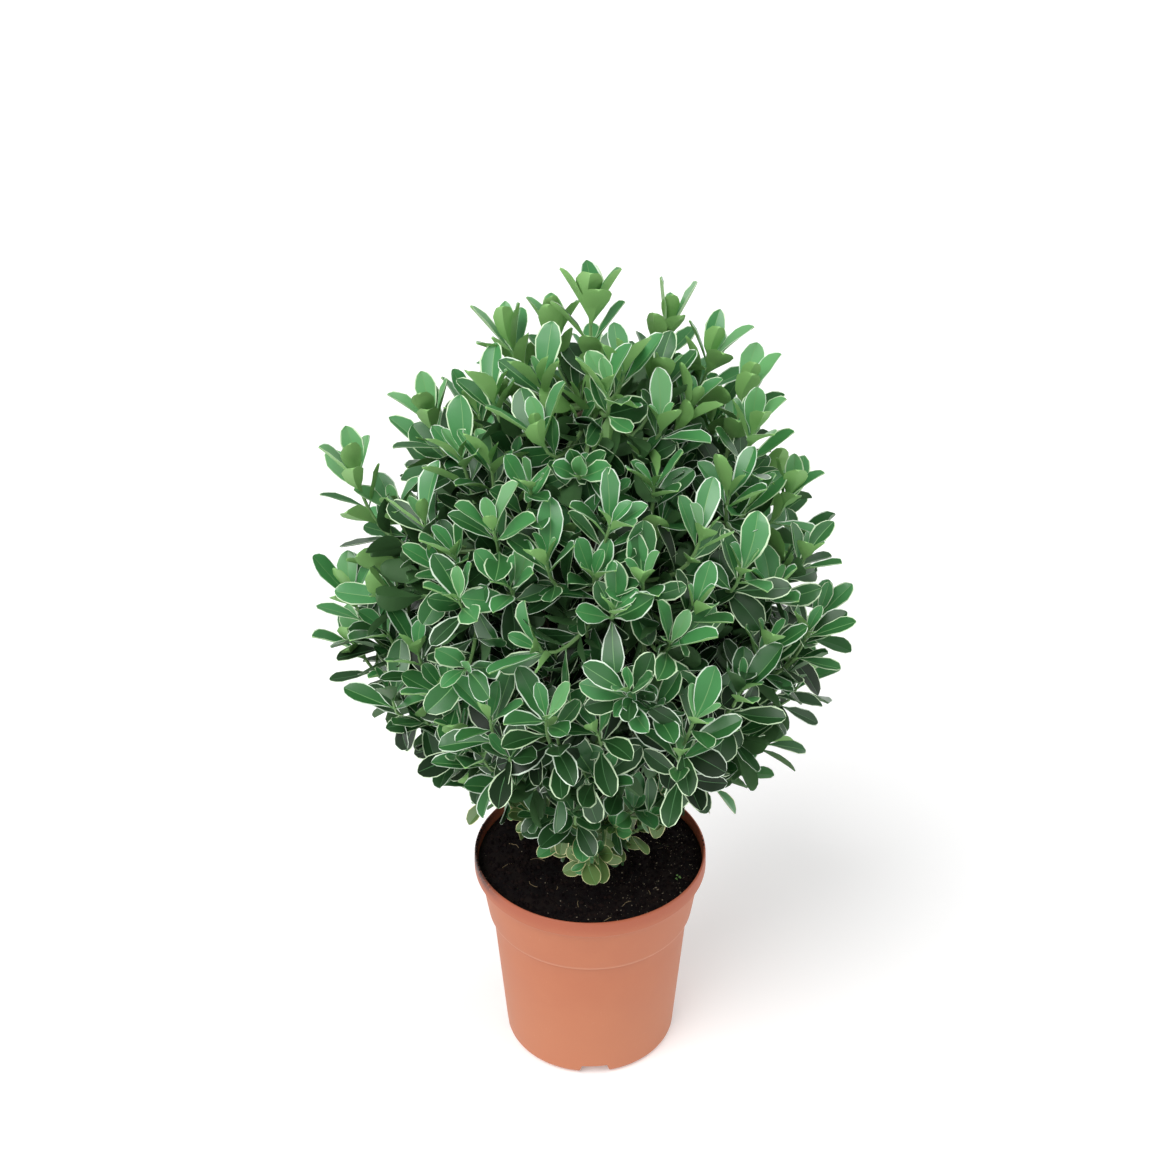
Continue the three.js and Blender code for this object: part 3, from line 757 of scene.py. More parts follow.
def tube(curve: ArcCurve, shares: np.ndarray, radii: np.ndarray, sides: int) -> Arrays:
    """A closed tube along a curve.

    Args:
        curve: the middle line.
        shares: the shares of the curve's length where the rings stand.
        radii: each ring's radius.
        sides: how many sides a ring has.

    Returns:
        Its points, corners and face sizes.
    """
    nearly_level = 0.8
    angles = 2 * math.pi * np.arange(sides) / sides
    side = None
    rings = []
    for share, radius in zip(shares, radii):
        along = curve.along(share)
        if side is None:
            side = np.cross(along, (1.0, 0.0, 0.0) if abs(along[0]) < nearly_level else (0.0, 1.0, 0.0))
        side = unit(side - along * side.dot(along))
        across = np.cross(along, side)
        ring = np.cos(angles)[:, None] * side + np.sin(angles)[:, None] * across
        rings.append(curve.at(share) + radius * ring)
    corners, sizes = [], []
    for ring in range(len(rings) - 1):
        for i in range(sides):
            a, b = ring * sides + i, ring * sides + (i + 1) % sides
            corners += [a, b, b + sides, a + sides]
            sizes.append(4)
    corners += list(range(sides))[::-1]
    corners += [(len(rings) - 1) * sides + i for i in range(sides)]
    sizes += [sides, sides]
    return np.vstack(rings), np.array(corners), np.array(sizes)


def turned(name: str, profile: Profile, steps: int) -> Piece:
    """Turns a profile round the axis into a closed shell.

    Args:
        name: the piece's name.
        profile: distances from the axis and heights, from one end on the axis to the other.
        steps: how many steps the turn takes.

    Returns:
        The piece.
    """
    deselect()
    bpy.ops.mesh.primitive_plane_add(size=1 * MM, location=(0, 0, 0))
    piece = bpy.context.object
    piece.name = name
    piece.data.name = name
    bpy.ops.object.mode_set(mode="EDIT")
    bpy.ops.mesh.merge(type="CENTER")
    bpy.ops.transform.translate(value=(profile[0][0], 0, profile[0][1]))
    for before, after in zip(profile, profile[1:]):
        move = (after[0] - before[0], 0, after[1] - before[1])
        bpy.ops.mesh.extrude_region_move(TRANSFORM_OT_translate={"value": move})
    bpy.ops.mesh.select_all(action="SELECT")
    bpy.ops.mesh.spin(steps=steps, angle=2 * math.pi, center=(0, 0, 0), axis=(0, 0, 1))
    bpy.ops.mesh.select_all(action="SELECT")
    bpy.ops.mesh.remove_doubles(threshold=TOUCH)
    bpy.ops.mesh.normals_make_consistent(inside=False)
    bpy.ops.object.mode_set(mode="OBJECT")
    return piece


# Finishes

def principled(name: str) -> tuple[Material, NodeTree, bpy.types.Node]:
    """A new material.

    Args:
        name: the material's name.

    Returns:
        The material, its node tree and its Principled shader.
    """
    material = bpy.data.materials.new(name)
    material.use_nodes = True
    tree = material.node_tree
    return material, tree, tree.nodes["Principled BSDF"]


@dataclass(frozen=True)
class PlainFinish:
    """A finish of one even colour."""

    name: str
    colour: Colour
    roughness: float = 0.4
    coat: float = 0.0
    specular: float = 0.5
    coat_roughness: float = 0.3

    def make(self) -> Material:
        """Makes the finish.

        Returns:
            The material.
        """
        material, _, shader = principled(self.name)
        shader.inputs["Base Color"].default_value = (*self.colour, 1)
        shader.inputs["Roughness"].default_value = self.roughness
        shader.inputs["Specular IOR Level"].default_value = self.specular
        shader.inputs["Coat Weight"].default_value = self.coat
        shader.inputs["Coat Roughness"].default_value = self.coat_roughness
        return material


class Tone(Enum):
    """The age of a leaf by the green of its blade, and painted shade: the darkest greens also stand for
    shade deep in the crown.
    """

    YOUNG = PlainFinish("leaf_young", (0.16, 0.42, 0.16), 0.34, 0.35)
    FRESH = PlainFinish("leaf_fresh", (0.068, 0.275, 0.084), 0.34, 0.32)
    GROWN = PlainFinish("leaf_grown", (0.033, 0.15, 0.039), 0.36, 0.22)
    # DEEP and DARK are darkened greens: old leaves, and painted shade inside the crown
    DEEP = PlainFinish("leaf_deep", (0.017, 0.073, 0.018), 0.4, 0.1, 0.4)
    DARK = PlainFinish("leaf_dark", (0.008, 0.027, 0.008), 0.45, 0.05, 0.3)
    OLIVE = PlainFinish("leaf_olive", (0.125, 0.215, 0.06), 0.45, 0.1)


class Edge(Enum):
    """The colour of a leaf's margin."""

    CREAM = PlainFinish("leaf_edge_cream", (0.7, 0.87, 0.59), 0.45)
    IVORY = PlainFinish("leaf_edge_ivory", (0.81, 0.94, 0.79), 0.45)
    PALE = PlainFinish("leaf_edge_pale_green", (0.45, 0.64, 0.33), 0.45)
    STRAW = PlainFinish("leaf_edge_straw", (0.82, 0.8, 0.42), 0.45)


class Rib(Enum):
    """The colour of a leaf's midrib and stalk."""

    LIGHT = PlainFinish("leaf_rib_light", (0.2, 0.42, 0.16), 0.45)
    FAINT = PlainFinish("leaf_rib_faint", (0.08, 0.21, 0.08), 0.45)


class Under(Enum):
    """The colour of a leaf's underside: pale where it is lit high in the crown, and a darkened copy, painted
    shade, low in the crown and deep inside it.
    """

    SOFT = PlainFinish("leaf_under_lit", (0.25, 0.5, 0.155), 0.5)
    # A darkened copy of the pale underside: painted shade
    DULL = PlainFinish("leaf_under_shaded", (0.06, 0.15, 0.05), 0.52)


class Stem(Enum):
    """The colour of a twig."""

    GREEN = PlainFinish("stem_green", (0.2, 0.36, 0.13), 0.5)
    BROWN = PlainFinish("stem_brown", (0.13, 0.105, 0.065), 0.8)


class Crumb(Enum):
    """The colour of a bit of compost."""

    PEAT = PlainFinish("peat_crumb", (0.006, 0.0035, 0.004), 0.95, 0.0, 0.1)
    UMBER = PlainFinish("peat_crumb_umber", (0.014, 0.008, 0.007), 0.95, 0.0, 0.1)
    STRAW = PlainFinish("peat_straw", (0.24, 0.18, 0.1), 0.85, 0.0, 0.2)
    CHIP = PlainFinish("peat_chip", (0.22, 0.18, 0.13), 0.85, 0.0, 0.2)
    SPROUT = PlainFinish("peat_sprout", (0.12, 0.26, 0.06), 0.6)


LEAF_LOOKS = [*Tone, *Edge, *Rib, *Under]
CRUMB_LOOKS = list(Crumb)
STEM_LOOKS = list(Stem)
# The ages up to which a blade has each tone, in pairs down its shoot; the age also carries painted shade, so
# leaves deep in the crown take the darker tones
TONE_AGES_AND_SHADE = (
    (-0.4, Tone.YOUNG), (1.4, Tone.FRESH), (3.1, Tone.GROWN), (5.2, Tone.DEEP), (math.inf, Tone.DARK),
)
# The tones of the lowest leaves, two in three of which are olive
LOW_TONES = [Tone.OLIVE, Tone.OLIVE, Tone.FRESH]


def noise_group(name: str) -> NodeTree:
    """A group of soft and fine noise, as masks from 0 to 1, that several finishes use.

    Args:
        name: the group's name.

    Returns:
        The group, with inputs for the scale and the fine scale and outputs Soft and Fine.
    """
    octaves, roughness = 5, 0.6
    group = bpy.data.node_groups.new(name, "ShaderNodeTree")
    group.interface.new_socket("Vector", in_out="INPUT", socket_type="NodeSocketVector")
    for way, titles in (("INPUT", ("Scale", "Fine Scale")), ("OUTPUT", ("Soft", "Fine"))):
        for title in titles:
            group.interface.new_socket(title, in_out=way, socket_type="NodeSocketFloat")
    entry = group.nodes.new("NodeGroupInput")
    leave = group.nodes.new("NodeGroupOutput")
    for scale, result in (("Scale", "Soft"), ("Fine Scale", "Fine")):
        texture = group.nodes.new("ShaderNodeTexNoise")
        texture.inputs["Detail"].default_value = octaves
        texture.inputs["Roughness"].default_value = roughness
        group.links.new(entry.outputs["Vector"], texture.inputs["Vector"])
        group.links.new(entry.outputs[scale], texture.inputs["Scale"])
        group.links.new(texture.outputs["Fac"], leave.inputs[result])
    return group


# The sockets of a colour mix: its two colours and its result
FIRST, SECOND, MIXED = 6, 7, 2


class Shading:
    """A material under construction, with short words for its nodes."""

    def __init__(self, name: str, noises: NodeTree, scale: float, fine_scale: float) -> None:
        """Starts a material whose noises read the piece's own coordinates.

        Args:
            name: the material's name.
            noises: the group of noises.
            scale: the soft noise's scale.
            fine_scale: the fine noise's scale.
        """
        self.material, self.tree, self.shader = principled(name)
        coordinates = self.tree.nodes.new("ShaderNodeTexCoord")
        self.position = coordinates.outputs["Object"]
        group = self.tree.nodes.new("ShaderNodeGroup")
        group.node_tree = noises
        group.inputs["Scale"].default_value = scale
        group.inputs["Fine Scale"].default_value = fine_scale
        self.tree.links.new(self.position, group.inputs["Vector"])
        self.soft = group.outputs["Soft"]
        self.fine = group.outputs["Fine"]

    def axis(self, letter: str) -> Socket:
        """One coordinate of the surface's place.

        Args:
            letter: X, Y or Z.

        Returns:
            The coordinate.
        """
        split = self.tree.nodes.new("ShaderNodeSeparateXYZ")
        self.tree.links.new(self.position, split.inputs[0])
        return split.outputs[letter]

    def range(self, value: Socket, low: float, high: float) -> Socket:
        """A mask that rises smoothly with a value.

        Args:
            value: the value.
            low: where the mask is 0.
            high: where the mask is 1, above or below low.

        Returns:
            The mask.
        """
        node = self.tree.nodes.new("ShaderNodeMapRange")
        node.inputs["From Min"].default_value = low
        node.inputs["From Max"].default_value = high
        node.interpolation_type = "SMOOTHSTEP"
        self.tree.links.new(value, node.inputs["Value"])
        return node.outputs["Result"]

    def times(self, first: Socket, second: Socket | float) -> Socket:
        """A product.

        Args:
            first: a mask.
            second: another mask, or a number.

        Returns:
            The product of the two.
        """
        node = self.tree.nodes.new("ShaderNodeMath")
        node.operation = "MULTIPLY"
        self.tree.links.new(first, node.inputs[0])
        if isinstance(second, float):
            node.inputs[1].default_value = second
        else:
            self.tree.links.new(second, node.inputs[1])
        return node.outputs[0]

    def mix(self, mask: Socket, under: Socket | Colour, over: Colour) -> Socket:
        """A colour that goes from one to another as a mask rises.

        Args:
            mask: the mask.
            under: the colour where the mask is 0.
            over: the colour where it is 1.

        Returns:
            The mixed colour.
        """
        node = self.tree.nodes.new("ShaderNodeMix")
        node.data_type = "RGBA"
        self.tree.links.new(mask, node.inputs["Factor"])
        if isinstance(under, tuple):
            node.inputs[FIRST].default_value = (*under, 1)
        else:
            self.tree.links.new(under, node.inputs[FIRST])
        node.inputs[SECOND].default_value = (*over, 1)
        return node.outputs[MIXED]

    def colour(self, socket: Socket) -> None:
        """Gives the shader its colour."""
        self.tree.links.new(socket, self.shader.inputs["Base Color"])

    def roughness(self, socket: Socket, low: float, high: float) -> None:
        """Gives the shader a roughness between two values, by a mask.

        Args:
            socket: the mask.
            low: the roughness where the mask is 0.
            high: the roughness where it is 1.
        """
        node = self.tree.nodes.new("ShaderNodeMapRange")
        node.inputs["To Min"].default_value = low
        node.inputs["To Max"].default_value = high
        self.tree.links.new(socket, node.inputs["Value"])
        self.tree.links.new(node.outputs["Result"], self.shader.inputs["Roughness"])

    def bump(self, height: Socket, strength: float, distance: float) -> None:
        """Gives the shader fine relief.

        Args:
            height: the relief's height, as a mask.
            strength: how strongly it shows, up to 1.
            distance: how deep it is, in metres.
        """
        node = self.tree.nodes.new("ShaderNodeBump")
        node.inputs["Strength"].default_value = strength
        node.inputs["Distance"].default_value = distance
        self.tree.links.new(height, node.inputs["Height"])
        self.tree.links.new(node.outputs["Normal"], self.shader.inputs["Normal"])


@dataclass(frozen=True)
class RoughFinish:
    """A rough finish in two shades by soft noise, with specks and relief by fine noise."""

    name: str
    scale: float
    fine_scale: float
    low: Colour
    high: Colour
    high_band: Pair
    speck: Colour
    speck_band: Pair
    roughness: Pair
    relief: Pair
    specular: float = 0.5

    def make(self, noises: NodeTree) -> Material:
        """Makes the finish.

        Args:
            noises: the group of noises.

        Returns:
            The material.
        """
        shading = Shading(self.name, noises, self.scale, self.fine_scale)
        colour = shading.mix(shading.range(shading.soft, *self.high_band), self.low, self.high)
        colour = shading.mix(shading.range(shading.fine, *self.speck_band), colour, self.speck)
        shading.shader.inputs["Specular IOR Level"].default_value = self.specular
        shading.colour(colour)
        shading.roughness(shading.fine, *self.roughness)
        shading.bump(shading.fine, *self.relief)
        return shading.material


# Grey-brown bark, lighter on its ridges, with pale flecks
BARK = RoughFinish(
    "bark", scale=90, fine_scale=900, low=(0.075, 0.055, 0.035), high=(0.2, 0.165, 0.11),
    high_band=(0.35, 0.65), speck=(0.27, 0.25, 0.17), speck_band=(0.55, 0.7), roughness=(0.75, 0.95),
    relief=(0.5, 0.4 * MM),
)
# Moist dark peat, with lighter specks
PEAT = RoughFinish(
    "peat", scale=60, fine_scale=1100, low=(0.004, 0.0025, 0.003), high=(0.01, 0.006, 0.005),
    high_band=(0.35, 0.7), speck=(0.05, 0.035, 0.025), speck_band=(0.68, 0.76), roughness=(0.8, 1.0),
    relief=(0.9, 0.7 * MM), specular=0.15,
)


@dataclass(frozen=True)
class PlasticFinish:
    """Matte terracotta plastic: mottled, redder at the lip, scuffed, with soil smudged on the rim, and
    lighter towards the foot as painted light from the floor.
    """

    scale: float = 24
    fine_scale: float = 620
    body: Colour = (0.482, 0.15, 0.067)
    mottle: Colour = (0.505, 0.166, 0.076)
    mottle_band: Pair = (0.3, 0.7)
    # Lighter tan towards the foot: painted light bounced up from the pale floor
    foot: Colour = (0.53, 0.2, 0.096)
    floor_light_share: float = 0.5
    floor_light_height: float = 0.1
    lip: Colour = (0.41, 0.1, 0.047)
    lip_share: float = 0.9
    lip_fade: Pair = (6 * MM, 3 * MM)
    mark: Colour = (0.2, 0.05, 0.025)
    mark_share: float = 0.5
    mark_band: Pair = (0.66, 0.74)
    line: Colour = (0.7, 0.33, 0.2)
    line_share: float = 0.45
    line_rise: Pair = (4 * MM, 1 * MM)
    line_fall: float = 2.5 * MM
    scuff: Colour = (0.66, 0.36, 0.24)
    scuff_share: float = 0.35
    scuff_band: Pair = (0.62, 0.74)
    scuff_patches: Pair = (0.5, 0.62)
    smudge: Colour = (0.02, 0.009, 0.008)
    smudge_fade: Pair = (11 * MM, 2 * MM)
    smudge_side: Pair = (-0.7, -0.97)
    smudge_band: Pair = (0.36, 0.46)
    roughness: Pair = (0.42, 0.6)
    relief: Pair = (0.12, 0.15 * MM)

    def make(self, pot: "Pot") -> Material:
        """Makes the finish.

        Args:
            pot: the pot, whose heights place the lip, the collar's line and the smudges.

        Returns:
            The material.
        """
        shading = Shading("pot_plastic", pot.noises, self.scale, self.fine_scale)
        height = shading.axis("Z")
        colour = shading.mix(shading.range(shading.soft, *self.mottle_band), self.body, self.mottle)
        # Painted light from the floor: the wall turns lighter towards the foot
        foot = shading.range(height, pot.collar_foot, self.floor_light_height * pot.height)
        colour = shading.mix(shading.times(foot, self.floor_light_share), colour, self.foot)
        lip = shading.range(height, pot.lip_foot - self.lip_fade[0], pot.height - self.lip_fade[1])
        colour = shading.mix(shading.times(lip, self.lip_share), colour, self.lip)
        high = shading.range(height, pot.collar_foot, pot.height)
        marks = shading.times(shading.range(shading.fine, *self.mark_band), high)
        colour = shading.mix(shading.times(marks, self.mark_share), colour, self.mark)
        line = shading.times(
            shading.range(height, pot.collar_foot - self.line_rise[0], pot.collar_foot - self.line_rise[1]),
            shading.range(height, pot.collar_foot + self.line_fall, pot.collar_foot),
        )
        colour = shading.mix(shading.times(line, self.line_share), colour, self.line)
        patches = shading.range(shading.soft, *self.scuff_patches)
        scuffs = shading.times(shading.range(shading.fine, *self.scuff_band), patches)
        colour = shading.mix(shading.times(scuffs, self.scuff_share), colour, self.scuff)
        start, end = (share * pot.lip_radius for share in self.smudge_side)
        smudge = shading.times(
            shading.range(height, pot.height - self.smudge_fade[0], pot.height - self.smudge_fade[1]),
            shading.range(shading.axis("X"), start, end),
        )
        smudge = shading.times(smudge, shading.range(shading.fine, *self.smudge_band))
        colour = shading.mix(smudge, colour, self.smudge)
        shading.colour(colour)
        shading.roughness(shading.soft, *self.roughness)
        shading.bump(shading.fine, *self.relief)
        return shading.material


# Leaves

@dataclass(frozen=True)
class LeafPattern:
    """One leaf as arrays, one unit long: stalk, blade, cream margin, midrib and underside."""

    points: np.ndarray
    corners: np.ndarray
    sizes: np.ndarray
    zones: np.ndarray


# A leaf's row of points: rim, inner rim and rib on one side, the same on the other side, and the keel below.
# Each strip of faces runs between two of them, in a zone: 0 blade, 1 margin, 2 rib and stalk, 3 underside.
ROW_POINTS = 7
STRIPS = ((0, 1, 1), (1, 2, 0), (2, 3, 2), (3, 4, 0), (4, 5, 1), (5, 6, 3), (6, 0, 3))
RIB_ZONE = 2


@dataclass(frozen=True)
class LeafCutter:
    """Cuts leaf patterns: folded along the midrib, with a scalloped cream margin and a round tip.

    All sizes are shares of the leaf's length.
    """

    stalk: float = 0.09
    stalk_width: float = 0.022
    blade: tuple[float, ...] = (0.0, 0.14, 0.32, 0.51, 0.69, 0.83, 0.93, 0.985)
    half_width: float = 0.204
    width_play: Pair = (0.88, 1.12)
    foot_curve: float = 1.05
    tip_curve: float = 0.56
    margin: float = 0.0185
    margin_play: Pair = (0.75, 1.35)
    margin_waver: Pair = (0.6, 1.5)
    first_tooth: int = 3
    tooth: float = 0.0045
    rim_play: float = 0.003
    wave: Pair = (-0.01, 0.014)
    rib: float = 0.011
    rib_taper: float = 0.7
    rib_margin: float = 1.3
    rib_lift: float = 0.002
    margin_lift: float = 0.005
    tip_lift: float = 0.01
    thickness: float = 0.02
    fold: Pair = (0.18, 0.55)
    bend: Pair = (-0.05, 0.24)
    twist: float = 0.25
    side_bend: float = 0.05

    def outline(self, t: float, width: float) -> float:
        """The blade's half width at a share of its length.

        Args:
            t: the share of the blade's length.
            width: the half width where it is widest.

        Returns:
            The half width there, never less than the stalk's.
        """
        middle = self.foot_curve / (self.foot_curve + self.tip_curve)
        widest = middle**self.foot_curve * (1 - middle) ** self.tip_curve
        return max(self.stalk_width, width * t**self.foot_curve * (1 - t) ** self.tip_curve / widest)

    def cut(self, random: Random) -> LeafPattern:
        """Cuts one pattern, with its own width, fold, bend, twist and margin.

        Args:
            random: where its own shape comes from.

        Returns:
            The pattern.
        """
        width = self.half_width * random.uniform(*self.width_play)
        margin = self.margin * random.uniform(*self.margin_play)
        fold = random.uniform(*self.fold)
        bend = random.uniform(*self.bend)
        twist = random.uniform(-self.twist, self.twist)
        side_bend = random.uniform(-self.side_bend, self.side_bend)
        points = []
        stations = [(0.0, 0.0)] + [(self.stalk + (1 - self.stalk) * t, t) for t in self.blade]
        for number, (forward, t) in enumerate(stations):
            half = self.outline(t, width) if number else self.stalk_width
            sway = side_bend * math.sin(math.pi * forward)
            lift = -bend * forward**2
            turn = twist * forward
            for x, z in self.row(number, forward, half, margin, fold, random):
                across = x * math.cos(turn) - z * math.sin(turn)
                up = x * math.sin(turn) + z * math.cos(turn)
                points.append((across + sway, forward, up + lift))
        points.append((0.0, 1.0, -bend + self.tip_lift))
        return LeafPattern(np.array(points), *self.faces(len(stations)))

    def row(
        self, number: int, forward: float, half: float, margin: float, fold: float, random: Random
    ) -> list[Pair]:
        """One row of points across a leaf, before it bends.

        Args:
            number: the row's number, from the stalk's foot.
            forward: its place along the leaf.
            half: the half width there.
            margin: the margin's width.
            fold: how steeply the halves rise from the midrib.
            random: where its own play comes from.

        Returns:
            Each point's place across the leaf and its height.
        """
        toothed = number >= self.first_tooth
        tooth = self.tooth * (1 if number % 2 else -1)
        rib = self.rib * (1 - self.rib_taper * forward)
        row = []
        for sign in (-1, 1):
            rim = half + (tooth + random.uniform(-self.rim_play, self.rim_play) if toothed else 0.0)
            inner = max(rib * self.rib_margin, rim - margin * random.uniform(*self.margin_waver))
            wave = random.uniform(*self.wave) if toothed else 0.0
            outer = [
                (sign * rim, fold * rim + wave),
                (sign * inner, fold * inner + wave * inner / rim + self.margin_lift),
                (sign * rib, self.rib_lift),
            ]
            row += outer if sign < 0 else outer[::-1]
        row.append((0.0, -self.thickness if number else -self.stalk_width))
        return row

    def faces(self, rows: int) -> Arrays:
        """The faces of a pattern.

        Args:
            rows: how many rows of points it has.

        Returns:
            The corners, sizes and zones.
        """
        corners, sizes, zones = [], [], []
        tip = rows * ROW_POINTS
        for row in range(rows):
            low, high = row * ROW_POINTS, (row + 1) * ROW_POINTS
            for first, second, zone in STRIPS:
                face = [low + first, low + second, high + second, high + first]
                if high == tip:
                    face = [low + first, low + second, tip]
                corners += face
                sizes.append(len(face))
                zones.append(zone if row else RIB_ZONE)
        corners += list(range(ROW_POINTS))[::-1]
        sizes.append(ROW_POINTS)
        zones.append(RIB_ZONE)
        return np.array(corners), np.array(sizes), np.array(zones)


# Young leaves are slender and folded, old ones oval and flatter
YOUNG_LEAF = LeafCutter()
OLD_LEAF = LeafCutter(half_width=0.265, foot_curve=0.75, tip_curve=0.5, fold=(0.08, 0.35))


class Thicket:
    """Keeps the leaves apart: a leaf whose middle line comes too near another's is refused."""

    def __init__(self, spacing: float) -> None:
        """Starts empty, with the distance to keep."""
        self.spacing = spacing
        self.cells: dict[tuple[int, int, int], list[np.ndarray]] = {}

    def cell(self, point: np.ndarray) -> tuple[int, int, int]:
        """The cell that a point lies in."""
        return tuple(math.floor(value / self.spacing) for value in point)

    def takes(self, points: np.ndarray) -> bool:
        """Whether there is room for a leaf.

        Args:
            points: the leaf's points.

        Returns:
            True where no point is too near another leaf's.
        """
        for point in points:
            x, y, z = self.cell(point)
            for dx in (-1, 0, 1):
                for dy in (-1, 0, 1):
                    for dz in (-1, 0, 1):
                        for other in self.cells.get((x + dx, y + dy, z + dz), ()):
                            if ((other - point) ** 2).sum() < self.spacing**2:
                                return False
        return True

    def add(self, points: np.ndarray) -> None:
        """Keeps a leaf's points."""
        for point in points:
            self.cells.setdefault(self.cell(point), []).append(point)


# A leaf's middle line and its outermost points, as shares of its length across, along and out of it
LEAF_LINE = np.array(((0, 0.38, 0), (0, 0.62, 0), (0, 0.88, 0)))
LEAF_REACH = np.array(((0, 0.35, 0), (-0.2, 0.65, 0.05), (0.2, 0.65, 0.05), (0, 1, 0)))
# A bud's rings: how far each stands before the twig's end, and its radius
BUD_PLACES = np.array((-3.2, -2.0, -0.8, 0.0)) * MM
BUD_RADII = np.array((0.9, 1.25, 0.8, 0.25)) * MM


@dataclass
class Greenery:
    """The leaves and twigs of every mass: where they grow, how they stand, and how old they look, with
    painted shade in their colours.
    """

    growth: Growth
    length: float = 46.5 * MM
    patterns: int = 12
    rosette: tuple[float, ...] = (1 * MM, 4 * MM, 11 * MM)
    rosette_spreads: tuple[float, ...] = (25, 37, 48)
    rosette_scales: tuple[float, ...] = (0.6, 1.0, 1.02)
    leader_scales: tuple[float, ...] = (0.84, 1.0, 1.02)
    leader_spread: float = 0.88
    pair_step: float = 13.5 * MM
    pair_spread: float = 58
    pair_widening: float = 2.0
    spread_play: float = 15
    light_heights: Pair = (0.1, 0.42)
    spreads: Pair = (1.12, 0.72)
    tilts: Pair = (1, 0.3)
    light_tilt: float = 0.4
    rosette_tilt: float = 0.3
    size_play: Pair = (0.84, 1.1)
    fine_size: float = 0.94
    pair_shrink: float = 0.035
    turn_play: float = 0.16
    low_height: float = 170 * MM
    low_parts: Triple = (0.2, 0.5, 1)
    low_scales: Triple = (0.52, 0.76, 1)
    leafy: float = 125 * MM
    leafy_share: float = 0.85
    old_level: float = 3
    old_play: float = 2
    tries: tuple[Pair, ...] = ((0, 1), (0.3, 1), (-0.3, 1), (0.6, 0.9), (-0.6, 0.9), (0, 0.78))
    spacing: float = 4.6 * MM
    overlap: float = 14 * MM
    limb_clearance: float = 1 * MM
    upright: float = 0.95
    smooth_angle: float = 50
    stem_rings: int = 5
    stem_sides: int = 10
    twig_sides: int = 6
    twig_step: float = 9 * MM
    twig_rings: int = 4
    bud_length: float = 5 * MM
    green_length: float = 80 * MM
    stub: float = 14 * MM
    age_play: float = 0.9
    # A weak shoot's leaves take older, darker tones as painted shade deep in the crown, a leader's younger,
    # lighter ones as painted light
    weak_shade_age: float = 4
    # Shifts of the age by height: darker tones in the lower crown as painted shade, lighter ones at the top,
    # partly younger growth and partly painted light
    age_heights: tuple[float, ...] = (0.07, 0.12, 0.2, 0.45)
    height_ages_and_light: tuple[float, ...] = (0.2, 1.2, 0.7, -1.5)
    lowest: float = 85 * MM
    lowest_share: float = 0.85
    pale_age: float = -3
    rib_age: float = 3
    edge_shares: Pair = (0.6, 0.4)
    lit_under_age: float = 1.5
    # Where an underside stays pale and lit, and below which it gets the painted shade: an age, its rise by
    # height, and a height
    lit_under_rise: float = 6
    lit_under_height: float = 0.2

    def __post_init__(self) -> None:
        """Starts the random numbers and an empty thicket."""
        self.random = np.random.default_rng(SEED)
        self.thicket = Thicket(self.spacing)

    def leaf_axes(self, along: np.ndarray, turn: float, spread: float, tilt: float) -> np.ndarray:
        """A leaf's own axes at a turn round its shoot.

        Args:
            along: the shoot's direction.
            turn: the turn round the shoot, in radians.
            spread: the leaf's angle to the shoot, in radians.
            tilt: how far its face turns up to the light.

        Returns:
            Rows for the ways across the leaf, along it and out of its upper face.
        """
        reference = UP if abs(along[2]) < self.upright else np.array((1.0, 0.0, 0.0))
        first = unit(np.cross(reference, along))
        side = first * math.cos(turn) + np.cross(along, first) * math.sin(turn)
        forward = along * math.cos(spread) + side * math.sin(spread)
        face = along * math.sin(spread) - side * math.cos(spread) + UP * tilt
        face = unit(face - forward * face.dot(forward))
        return np.array((np.cross(forward, face), forward, face))

    def places(self, shoot: Shoot) -> list[float]:
        """Where a shoot's pairs of leaves grow.

        Args:
            shoot: the shoot.

        Returns:
            How far back from its end each pair grows.
        """
        end = self.leafy_share * shoot.curve.length
        places = [place for place in self.rosette if place < end]
        while places[-1] + self.pair_step < min(self.leafy, end):
            places.append(places[-1] + self.pair_step)
        return places

    def looks(self, level: int, height: float, strength: float) -> list[Enum]:
        """The looks of a leaf's zones.

        Args:
            level: how many pairs down its shoot it grows.
            height: its height over the soil.
            strength: its shoot's strength.

        Returns:
            The looks of blade, margin, rib and underside.
        """
        # The age also carries painted shade: leaves of weak shoots and of the lower crown come out darker in
        # blade, rib and underside
        age_and_shade = level + self.random.normal(0, self.age_play) + self.weak_shade_age * (1 - strength)
        age_and_shade += np.interp(height, self.age_heights, self.height_ages_and_light)
        # The lowest leaves, under the crown, take the darkened underside as painted shade
        if height < self.lowest and self.random.random() < self.lowest_share:
            return [self.random.choice(LOW_TONES), Edge.STRAW, Rib.LIGHT, Under.DULL]
        blade = next(tone for limit, tone in TONE_AGES_AND_SHADE if age_and_shade < limit)
        edge = Edge.PALE
        if age_and_shade >= self.pale_age:
            edge = self.random.choice([Edge.CREAM, Edge.IVORY], p=self.edge_shares)
        rib = Rib.LIGHT if age_and_shade < self.rib_age else Rib.FAINT
        # Undersides high in the crown stay pale and lit; lower and deeper ones get the darkened copy, a
        # painted shade
        soft = age_and_shade < self.lit_under_age + self.lit_under_rise * (height - self.lit_under_height)
        return [blade, edge, rib, Under.SOFT if soft else Under.DULL]

    def grow(self) -> list[Piece]:
        """Grows every mass's twigs and leaves.

        Returns:
            The pieces.
        """
        cutters = (YOUNG_LEAF, OLD_LEAF)
        patterns = [cutter.cut(self.random) for cutter in cutters for _ in range(self.patterns)]
        shoots = self.growth.shoots()
        heaps = self.leaf_heaps(patterns, shoots)
        leaf_finishes = [look.value.make() for look in LEAF_LOOKS]
        stem_finishes = [look.value.make() for look in STEM_LOOKS]
        pieces = []
        for mass in self.growth.masses:
            leaves = heaps[mass.name].piece(f"leaves_{mass.name}", leaf_finishes, self.smooth_angle)
            twigs = self.twigs(mass, shoots[mass.name], stem_finishes)
            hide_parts(f"foliage_{mass.name}")
            pieces += [leaves, twigs]
        return pieces

